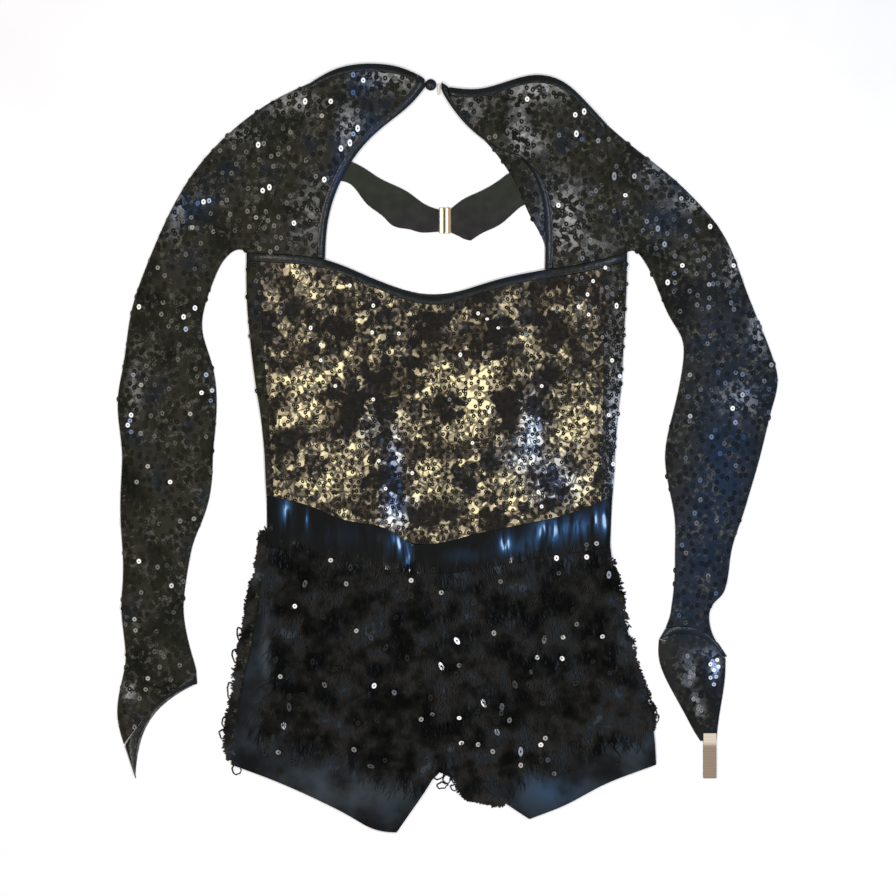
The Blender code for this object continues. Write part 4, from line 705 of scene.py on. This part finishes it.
def ring_template():
    """A sequin at the origin: a flat ring round its centre hole."""
    body = bmesh.new()
    bmesh.ops.create_circle(body, segments=SEQUIN_SIDES, radius=SEQUIN_RADIUS)
    made = bmesh.ops.extrude_edge_only(body, edges=body.edges[:])["geom"]
    inner = [part for part in made if isinstance(part, bmesh.types.BMVert)]
    bmesh.ops.scale(body, verts=inner, vec=(SEQUIN_HOLE / SEQUIN_RADIUS,) * 3)
    bmesh.ops.recalc_face_normals(body, faces=body.faces)
    if sum(face.normal.z for face in body.faces) < 0:
        bmesh.ops.reverse_faces(body, faces=body.faces)
    body.verts.index_update()
    corners = np.array([vert.co for vert in body.verts])
    faces = np.array([[vert.index for vert in face.verts] for face in body.faces])
    body.free()
    return corners, faces


RING_CORNERS, RING_FACES = ring_template()


def joined_rings(name, places, normals, tones_and_glints, blue_reflections, turns, stretches, size):
    """Many sequins as one mesh. Each has its place, normal, tone with its painted glint, painted blue
    reflection, turn and length against its width.
    """
    places, normals, turns = np.array(places), np.array(normals), np.array(turns)
    normals /= np.linalg.norm(normals, axis=1, keepdims=True)
    ways = np.stack([np.cos(turns), np.sin(turns), np.zeros(len(turns))], axis=1)
    along = np.cross(normals, ways)
    along /= np.linalg.norm(along, axis=1, keepdims=True)
    across = np.cross(along, normals)
    corners = (
        places[:, None, :]
        + RING_CORNERS[None, :, 0:1] * across[:, None, :] * size
        + RING_CORNERS[None, :, 1:2] * along[:, None, :] * size * np.reshape(stretches, (-1, 1, 1))
    )
    faces = RING_FACES[None, :, :] + (np.arange(len(places)) * len(RING_CORNERS))[:, None, None]
    mesh = bpy.data.meshes.new(name)
    mesh.from_pydata(corners.reshape(-1, 3).tolist(), [], faces.reshape(-1, RING_FACES.shape[1]).tolist())
    mark(mesh, "tone", np.repeat(np.array(tones_and_glints), len(RING_CORNERS)))
    mark(mesh, "blue", np.repeat(np.array(blue_reflections), len(RING_CORNERS)))
    return finished(name, mesh, "foil")


def scatter_sequins(surface, node, seed, below=False):
    """Sequins sewn over a piece, where it shows."""
    dice = np.random.RandomState(seed)
    low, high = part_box(node)
    sewn = SEWN.get(node, USUAL)
    pitch, row_step = sewn.pitch * MM, sewn.pitch * MM * math.sqrt(3) / 2
    edge = SEQUIN_RADIUS if below else SEQUIN_EDGE
    sides = [(edge, 0), (-edge, 0), (0, edge), (0, -edge)]
    beside = SEQUINNED_CLOTH - {None} if below else SEQUINNED_CLOTH
    places, normals, tones_and_glints, stretches, blue_reflections = [], [], [], [], []
    for row in range(int((high.y - low.y) / row_step) + 1):
        for column in range(int((high.x - low.x) / pitch) + 2):
            jitter = dice.normal(0, SEQUIN_JITTER, 2) * pitch
            tilt = dice.normal(0, SEQUIN_TILT, 2)
            tone = dice.uniform()
            x = low.x + (column + 0.5 * (row % 2)) * pitch + jitter[0]
            y = low.y + row * row_step + jitter[1]
            place, normal, found = surface.at(x, y, below)
            if found != node + "_cloth" or abs(normal.z) < STEEPEST:
                continue
            if any(surface.at(x + dx, y + dy, below)[2] not in beside for dx, dy in sides):
                continue
            flat = np.array([[x, y]]) / MM
            if node == "cuff_point_right":
                if spot_strength("pale", flat)[0] < CUFF_FIGURE:
                    continue
                # On the cuff their pale tones are painted glints
                tone = CUFF_GLINT_TONE + (1 - CUFF_GLINT_TONE) * tone + (CUFF_BRIGHTER if x > CUFF_BRIGHT_X else 0.0)
            if below:
                places.append((x, y, SEQUIN_BELOW))
                normals.append((UNDER_TILT * tilt[0], 0, -1))
            else:
                places.append(place + normal * SEQUIN_LIFT)
                normals.append((normal.x + tilt[0], normal.y + tilt[1], normal.z))
            tones_and_glints.append(PALEST * tone)
            stretches.append(SEQUIN_STRETCH)
            blue_reflections.append(spot_strength("blue", flat)[0])
    # The listed sequins, painted pale as glints
    for glint in [] if below else GLINTS:
        place, normal, found = surface.at(glint.x * MM, glint.y * MM)
        if found == node + "_cloth":
            places.append(place + normal * GLINT_LIFT)
            normals.append(normal)
            tones_and_glints.append(glint.tone)
            stretches.append(glint.long)
            blue_reflections.append(glint.blue)
    name = ("sequins_under_" if below else "sequins_") + node
    turns = np.zeros(len(places))
    return joined_rings(name, places, normals, tones_and_glints, blue_reflections, turns, stretches, sewn.size)


def root_line(node):
    """The upper edge of a row of fringe, as places from its left to its right."""
    corners = np.array([vert.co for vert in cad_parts[node].data.vertices])[:, :2]
    edges = np.linspace(corners[:, 0].min() + TAPE_END, corners[:, 0].max() - TAPE_END, TAPE_STEPS + 1)
    line = []
    for start, end in zip(edges, edges[1:]):
        inside = corners[(corners[:, 0] >= start) & (corners[:, 0] <= end)]
        if len(inside):
            line.append(inside[inside[:, 1].argmax()])
    return np.array(line)


def yarns(name, paths, radius=YARN_RADIUS, taper=YARN_TAPER, look="fringe"):
    """Many strands of yarn as one mesh."""
    curve = bpy.data.curves.new(name, "CURVE")
    curve.dimensions = "3D"
    curve.bevel_depth = radius
    curve.bevel_resolution = 0
    curve.use_fill_caps = True
    for path in paths:
        spline = curve.splines.new("POLY")
        spline.points.add(len(path) - 1)
        for number, (point, place) in enumerate(zip(spline.points, path)):
            point.co = (*place, 1.0)
            point.radius = 1.0 - taper * number / len(path)
    return finished(name, settled(placed(name + "_source", curve)), look)


def strand(surface, dice, x, y, heading, length, rise, on_floor=False):
    """The path of one yarn over the cloth, or over the floor past it. It ends where the cloth below ends."""
    step = length / YARN_POINTS
    radius = EDGE_YARN_RADIUS if on_floor else YARN_RADIUS
    hang = heading
    path = []
    for number in range(YARN_POINTS):
        place = None if on_floor else surface.at(x, y)[0]
        level = place.z if place is not None else 0.0
        if path and place is None and not on_floor:
            break
        bulge = math.sin(math.pi * min(number / 4, 0.6))  # it rises from its root, then lies on
        path.append((x, y, level + radius + rise * bulge))
        heading += dice.normal(0, YARN_WANDER) - YARN_RIGHTING * (heading - hang)
        x += step * math.cos(heading)
        y += step * math.sin(heading)
    return path


def hang_row(surface, node, seed):
    """One row of fringe on the front of the legs. Its roots spread down to the next row."""
    dice = np.random.RandomState(seed)
    line = root_line(node)
    side = "right" if "right" in node else "left"
    above = TOP_ROW_ABOVE if node.endswith("1") else ROW_ABOVE
    under = LAST_ROW_UNDER if node.endswith("4") else ROW_UNDER
    down = -math.pi / 2 + YARN_LEAN[side]
    outer = ROW_OUTER + (TOP_ROW_WIDER if node.endswith("1") else 0)
    before, past = (ROW_INNER, outer) if side == "right" else (outer, ROW_INNER)
    paths = []
    for _ in range(YARNS_PER_ROW):
        x = dice.uniform(line[0, 0] - before, line[-1, 0] + past)
        y = np.interp(x, line[:, 0], line[:, 1]) + above - (above + under) * dice.uniform()
        if surface.at(x, y)[0] is None:
            continue
        length = YARN_LENGTH * dice.uniform(*YARN_SHARES)
        heading = down + dice.normal(0, YARN_SPREAD)
        paths.append(strand(surface, dice, x, y, heading, length, dice.uniform(*YARN_RISES) * MM))
    paths = [path for path in paths if len(path) > 2]
    fringe = yarns(node + "_yarns", paths)
    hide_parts(node)
    return fringe


Edging = namedtuple("Edging", "heading length count locks line")

# Fringe of the back that shows past an edge. line is the edge, in millimetres.
EDGINGS = {
    "fringe_back_side": Edging(
        heading=-2.6,
        length=4.5,
        count=1500,
        locks=30,
        line=[
            (-169, -76), (-171, -93), (-174, -113), (-180, -133), (-182, -153), (-186, -170),
            (-190, -188), (-193, -219), (-199, -243), (-201, -264), (-199, -281),
        ],
    ),
    "fringe_back_crotch": Edging(
        heading=-2.1,
        length=5.0,
        count=620,
        locks=12,
        line=[(7, -304), (16, -313), (22, -317), (35, -319), (50, -322)],
    ),
    "fringe_side_right": Edging(
        heading=-0.6,
        length=3.5,
        count=600,
        locks=26,
        line=[(150, -100), (157, -127), (162, -154), (173, -199), (186, -233), (187, -246), (183, -256)],
    ),
}
Loop = namedtuple("Loop", "x y wide tall turn")
LOOPS = {
    name: [Loop(*row) for row in rows]
    for name, rows in {
        "fringe_back_side": [
            (-187, -167, 2.6, 5.5, 0.2), (-191, -187, 3.0, 6.0, 0.2), (-195, -219, 3.4, 8.5, 0.1),
            (-200, -246, 3.4, 5.0, -0.3), (-202, -257, 3.6, 4.0, 0.8), (-190, -289, 4.0, 4.5, 0.4),
        ],
        "fringe_back_crotch": [
            (-9, -294, 4.6, 3.6, 0.5), (-1, -297, 3.4, 4.6, -0.4), (7, -297, 4.2, 3.2, 0.2),
            (-5, -303, 4.6, 2.6, 0.1), (6, -305, 3.6, 2.6, -0.2),
        ],
        "fringe_side_right": [
            (184, -236, 3.6, 6.0, 0.5), (187, -243, 2.6, 4.0, -0.2), (183, -248, 3.0, 3.0, 0.1),
        ],
    }.items()
}


def hang_edging(surface, name, seed):
    """Short hairy yarns along an edge, gathered in locks, and a few loops of thread."""
    dice = np.random.RandomState(seed)
    edging = EDGINGS[name]
    line = np.array(edging.line) * MM
    ends = np.linspace(0, 1, len(line))
    lock_lengths = dice.uniform(*EDGE_LOCKS, edging.locks)
    paths = []
    out = np.array([math.cos(edging.heading), math.sin(edging.heading)]) * MM
    for number in range(edging.count):
        lock = dice.randint(edging.locks)
        share = (lock + 0.5 + dice.normal(0, 0.3)) / edging.locks
        edge = np.array([np.interp(share, ends, line[:, 0]), np.interp(share, ends, line[:, 1])])
        width = 0
        while width < EDGE_SEARCH and surface.at(*(edge - width * out))[0] is None:
            width += 1
        over = number % 3 == 0  # the others lie on the floor past the cloth
        inwards = width + dice.uniform(0, EDGE_OVERLAP) if over else dice.uniform(0.5, width + 1.0)
        x, y = edge - out * inwards
        heading = edging.heading + dice.normal(0, EDGE_SPREAD)
        length = edging.length * MM * lock_lengths[lock] * dice.uniform(*EDGE_SHARES)
        rise = dice.uniform(*EDGE_RISES) * MM
        paths.append(strand(surface, dice, x, y, heading, length, rise, on_floor=not over))
    turns = np.linspace(0, math.tau, LOOP_POINTS)
    for loop in LOOPS[name]:
        side = loop.wide * np.cos(turns) + dice.normal(0, LOOP_WOBBLE, LOOP_POINTS)
        up = loop.tall * np.sin(turns) + dice.normal(0, LOOP_WOBBLE, LOOP_POINTS)
        x = loop.x + side * math.cos(loop.turn) - up * math.sin(loop.turn)
        y = loop.y + side * math.sin(loop.turn) + up * math.cos(loop.turn)
        paths.append([(a * MM, b * MM, LOOP_RISE) for a, b in zip(x, y)])
    paths = [path for path in paths if len(path) > 2]
    fringe = yarns(name + "_yarns", paths, EDGE_YARN_RADIUS)
    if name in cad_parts:
        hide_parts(name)
    return fringe


Paillette = namedtuple("Paillette", "x y long tone turn")

# Their pale tones are painted glints.
# Sequins of the fringe that catch the light, at the places listed. long is their length over their width.
PAILLETTES = [
    Paillette(*row)
    for row in (
        (-91, -121, 1.1, 0.97, 0.2), (-33, -118, 1.0, 0.99, 0.0), (-6, -129, 1.0, 0.98, 0.4),
        (47, -119, 1.0, 0.96, 0.0), (-137, -141, 1.0, 1.0, 1.2), (-82, -163, 0.9, 0.98, 0.9),
        (-69, -169, 1.5, 0.94, 0.5), (8, -172, 1.7, 1.0, 0.6), (-6, -195, 1.9, 1.0, 0.4),
        (10, -194, 1.0, 0.96, 0.0), (41, -165, 1.2, 0.97, 0.3), (86, -171, 1.9, 0.96, -0.1),
        (103, -169, 0.9, 0.99, 0.0), (115, -157, 1.1, 0.96, -0.4), (138, -168, 0.9, 0.99, 0.5),
        (80, -187, 1.0, 0.99, 0.3), (102, -188, 1.1, 1.0, 0.9), (74, -200, 1.0, 0.95, 0.0),
        (60, -211, 1.8, 0.92, 0.3), (-66, -212, 1.3, 1.0, -0.6), (22, -211, 1.4, 0.92, 1.0),
        (32, -228, 1.9, 1.0, 0.5), (44, -254, 1.6, 0.97, 0.4), (55, -243, 1.2, 0.96, -0.3),
        (85, -228, 1.5, 0.93, 1.5), (10, -241, 0.8, 1.0, 0.0), (12, -264, 1.1, 1.0, 1.5),
        (27, -265, 1.0, 0.98, 0.0), (40, -271, 1.1, 0.97, 0.6), (65, -271, 2.0, 0.97, 0.0),
        (65, -283, 1.1, 0.98, 0.2), (87, -259, 1.2, 0.98, -0.5), (83, -265, 1.2, 1.0, -0.5),
        (89, -278, 1.1, 0.95, 0.0), (95, -291, 1.0, 0.96, 0.0), (-69, -284, 1.6, 0.95, 1.2),
        (-84, -269, 1.2, 0.96, 0.8), (-140, -281, 1.6, 0.93, 1.5), (-152, -272, 1.1, 0.97, 1.2),
        (-147, -248, 1.6, 0.99, 0.2), (-142, -231, 1.9, 0.94, 0.1), (-150, -204, 1.0, 0.98, 0.8),
        (-24, -242, 1.0, 0.97, 0.4), (-14, -238, 1.0, 0.96, 0.0), (97, -98, 1.2, 1.0, 0.0),
        (124, -97, 1.1, 1.0, 0.3), (124, -86, 1.0, 0.95, 0.0), (133, -85, 1.0, 0.98, 0.0),
        (146, -85, 1.0, 0.98, 0.2), (144, -113, 1.7, 0.97, 0.0), (-105, -100, 1.0, 0.99, 0.2),
    )
]
DARK_PAILLETTES = 90
DARK_LIMITS = Paillette((-165, 165), (-290, -100), (1.0, 1.8), (0.2, 0.93), (-1, 1))
LONG, BRIGHT = 1.4, 0.965  # those longer and paler than this have a painted blue gleam


def build_paillettes(surface):
    """Long sequins caught in the fringe: the ones painted pale as glints, and dark ones between them."""
    dice = np.random.RandomState(PAILLETTE_SEED)
    dark = [Paillette(*(dice.uniform(*limits) for limits in DARK_LIMITS)) for _ in range(DARK_PAILLETTES)]
    made = {"left": [], "right": []}
    for paillette in PAILLETTES + dark:
        place, _, found = surface.at(paillette.x * MM, paillette.y * MM)
        if place is None or not found.startswith(("shorts_front", "waistband_front", "fringe")):
            continue
        made["left" if "left" in found else "right"].append((paillette, place.z))
    pieces = {}
    for which, rows in made.items():
        places = [(row.x * MM, row.y * MM, level + PAILLETTE_LIFT) for row, level in rows]
        normals = [(*dice.normal(0, PAILLETTE_TILT, 2), 1.0) for _ in rows]
        tones_and_glints = [row.tone for row, _ in rows]
        blue_reflections = [0.3 if row.long > LONG and row.tone > BRIGHT else 0.05 for row, _ in rows]
        turns = [row.turn for row, _ in rows]
        longs = [row.long for row, _ in rows]
        name = "paillettes_" + which
        size = PAILLETTE_SIZE
        pieces[which] = joined_rings(name, places, normals, tones_and_glints, blue_reflections, turns, longs, size)
    return pieces


Patch = namedtuple("Patch", "look under thick outline")

# Small pieces of cloth that show past the solids: inside the right cuff, at the strap's right end, along the
# back of both legs, and between them
PATCHES = {
    "cuff_facing_right": Patch(
        look="sequin_mesh",
        under=1.35 * MM,
        thick=0.35 * MM,
        outline=[
            (196, -173), (201, -164), (218, -163), (231, -167), (243, -175), (251, -187), (238, -188),
            (218, -183), (203, -178),
        ],
    ),
    "strap_tab_right": Patch(
        look="plain_cloth",
        under=0.3 * MM,
        thick=0.6 * MM,
        outline=[(50.5, 245), (56, 248.5), (71.5, 221), (64, 216.5)],
    ),
    "back_edge_left": Patch(
        look="sequin_mesh",
        under=0.3 * MM,
        thick=0.5 * MM,
        outline=[
            (-160, -78), (-167, -78), (-170, -96), (-173, -115), (-178, -134), (-180, -154), (-184, -171),
            (-188, -189), (-191, -219), (-197, -243), (-199, -264), (-197, -280), (-191, -282),
            (-188, -250), (-182, -215), (-175, -180), (-169, -150), (-164, -115),
        ],
    ),
    "back_edge_right": Patch(
        look="sequin_mesh",
        under=0.3 * MM,
        thick=0.5 * MM,
        outline=[
            (149, -106), (154, -127), (159, -154), (170, -199), (183, -234), (185, -246), (181, -254),
            (175, -236), (165, -200), (155, -160), (148, -128),
        ],
    ),
    "crotch_gusset": Patch(
        look="stretch_cloth",
        under=0.4 * MM,
        thick=0.5 * MM,
        outline=[
            (-3, -240), (3, -240), (9, -268), (17, -280), (33, -299), (54, -317), (50, -320), (35, -317),
            (22, -315), (16, -311), (8, -303), (4, -297), (-7, -291), (-14, -298), (-11, -292),
            (-5, -274),
        ],
    ),
}


def build_patch(name, patch):
    """A flat patch with the outline given."""
    body = bmesh.new()
    rim = [body.verts.new((x * MM, y * MM, patch.under)) for x, y in patch.outline]
    body.faces.new(rim)
    made = bmesh.ops.extrude_face_region(body, geom=body.faces[:])["geom"]
    top = [part for part in made if isinstance(part, bmesh.types.BMVert)]
    bmesh.ops.translate(body, verts=top, vec=(0, 0, patch.thick))
    bmesh.ops.recalc_face_normals(body, faces=body.faces)
    mesh = mesh_of(body, name)
    mark_spots(mesh, corners_of(mesh)[:, :2] / MM)
    return finished(name, mesh, patch.look)


def build_cloth():
    """Every sheet of cloth, by its name."""
    cloth = {}
    for look, nodes in CLOTH.items():
        for node in nodes:
            cloth[node] = dress(node, look)
    for name, patch in PATCHES.items():
        cloth[name] = build_patch(name, patch)
    return cloth


# Armhole seams, in millimetres
ARMHOLES = {
    "left": [(-122, 329), (-130, 297), (-140, 266), (-151.5, 235), (-165, 205), (-181, 176)],
    "right": [(142, 291.5), (143.3, 262.4), (147, 233.2), (152.8, 204.4), (161, 176)],
}


def build_seams(surface):
    """A thick thread along each armhole, where the sleeve's seam is overlocked."""
    for which, places in ARMHOLES.items():
        line = np.array(places) * MM
        shares = np.linspace(0, 1, SEAM_POINTS)
        ends = np.linspace(0, 1, len(line))
        path = []
        for x, y in zip(np.interp(shares, ends, line[:, 0]), np.interp(shares, ends, line[:, 1])):
            beside = [surface.at(x + dx, y)[0] for dx in (-SEAM_REACH, SEAM_REACH)]
            path.append((x, y, max([place.z for place in beside if place is not None], default=SEAM_RADIUS)))
        yarns("armhole_seam_" + which, [path], SEAM_RADIUS, 0.0, "sequin_mesh")


def build_fringe(surface):
    """The rows of fringe, by the piece of cloth that carries them."""
    rows = {node: [] for node in CLOTH["stretch_cloth"]}
    for number, node in enumerate(sorted(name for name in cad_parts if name.startswith("fringe"))):
        if "back" not in node:
            which = "left" if "left" in node else "right"
            rows["shorts_front_" + which].append(hang_row(surface, node, ROW_SEED + number))
    for number, name in enumerate(EDGINGS):
        which = "left" if name == "fringe_back_side" else "right"
        rows["shorts_back_" + which].append(hang_edging(surface, name, EDGE_SEED + number))
    return rows


TRIMS = {
    "neck_knob": "binding",
    "neck_loop": "clear_elastic",
    "clasp_left": "gilt_metal",
    "clasp_right": "gilt_metal",
}


def build_trims():
    """The fastenings keep their solids, with a finish of their own."""
    for node, look in TRIMS.items():
        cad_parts[node].data.materials.clear()
        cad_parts[node].data.materials.append(LOOK[look])


FLOOR_REACH, FLOOR_BELOW = 3.0, -0.2 * MM  # the underside's sequins lie above it


def build_stage():
    """A plain pale floor."""
    body = bmesh.new()
    bmesh.ops.create_grid(body, x_segments=1, y_segments=1, size=FLOOR_REACH)
    mesh = mesh_of(body, "floor")
    mesh.materials.append(card_material())
    floor = placed("floor", mesh)
    floor.location.z = FLOOR_BELOW


Lamp = namedtuple("Lamp", "name x y colour")
LAMPS = [
    Lamp("key", -0.42, 0.4, "#fff4e8"),
    Lamp("cool", 0.45, 0.35, "#dfe9ff"),
    Lamp("right", 0.38, -0.45, "#f4f6ff"),
    Lamp("low", -0.35, -0.5, "#fff6ee"),
]
LAMP_HEIGHT, LAMP_SIZE, LAMP_POWER = 1.3, 0.24, 5.7
WORLD_LEVEL = 0.35


def build_light():
    """Four soft lamps over the garment's quarters, and an even pale room."""
    world = bpy.data.worlds.new("studio")
    bpy.context.scene.world = world
    world.use_nodes = True
    world.node_tree.nodes["Background"].inputs["Color"].default_value = linear("#f4f6fa")
    world.node_tree.nodes["Background"].inputs["Strength"].default_value = WORLD_LEVEL
    bpy.context.scene.view_settings.view_transform = "Standard"
    for lamp in LAMPS:
        light = bpy.data.lights.new(lamp.name, "AREA")
        light.shape = "DISK"
        light.size = LAMP_SIZE
        light.energy = LAMP_POWER
        light.color = linear(lamp.colour)[:3]
        thing = placed(lamp.name, light)
        thing.location = (lamp.x, lamp.y, LAMP_HEIGHT)
        thing.rotation_euler = (-Vector(thing.location)).to_track_quat("-Z", "Y").to_euler()


PHOTO_WIDTH = 0.8064  # metres across the photo, at the floor
PHOTO_MIDDLE_Y = 0.00045
LENS, SENSOR = 70.0, 36.0


def build_camera():
    """Straight above, as the photo was taken."""
    camera = bpy.data.cameras.new("camera")
    camera.lens, camera.sensor_width = LENS, SENSOR
    thing = placed("camera", camera)
    thing.location = (0.0, PHOTO_MIDDLE_Y, PHOTO_WIDTH * LENS / SENSOR)
    bpy.context.scene.camera = thing


def main():
    build_stage()
    cloth = build_cloth()
    surface = Surface(cloth.values())
    goes_with = build_fringe(surface)
    for number, node in enumerate(SEQUINNED):
        if node not in ("bodice_back", "yoke_back_left"):
            goes_with.setdefault(node, []).append(scatter_sequins(surface, node, number))
        if node in UNDERSIDE:
            under = scatter_sequins(surface, node, UNDER_SEED + number, below=True)
            goes_with.setdefault(node, []).append(under)
    fringed = [*cloth.values(), *goes_with["shorts_front_left"], *goes_with["shorts_front_right"]]
    for which, piece in build_paillettes(Surface(fringed)).items():
        goes_with["shorts_front_" + which].append(piece)
    build_seams(surface)
    build_trims()
    build_light()
    build_camera()


main()
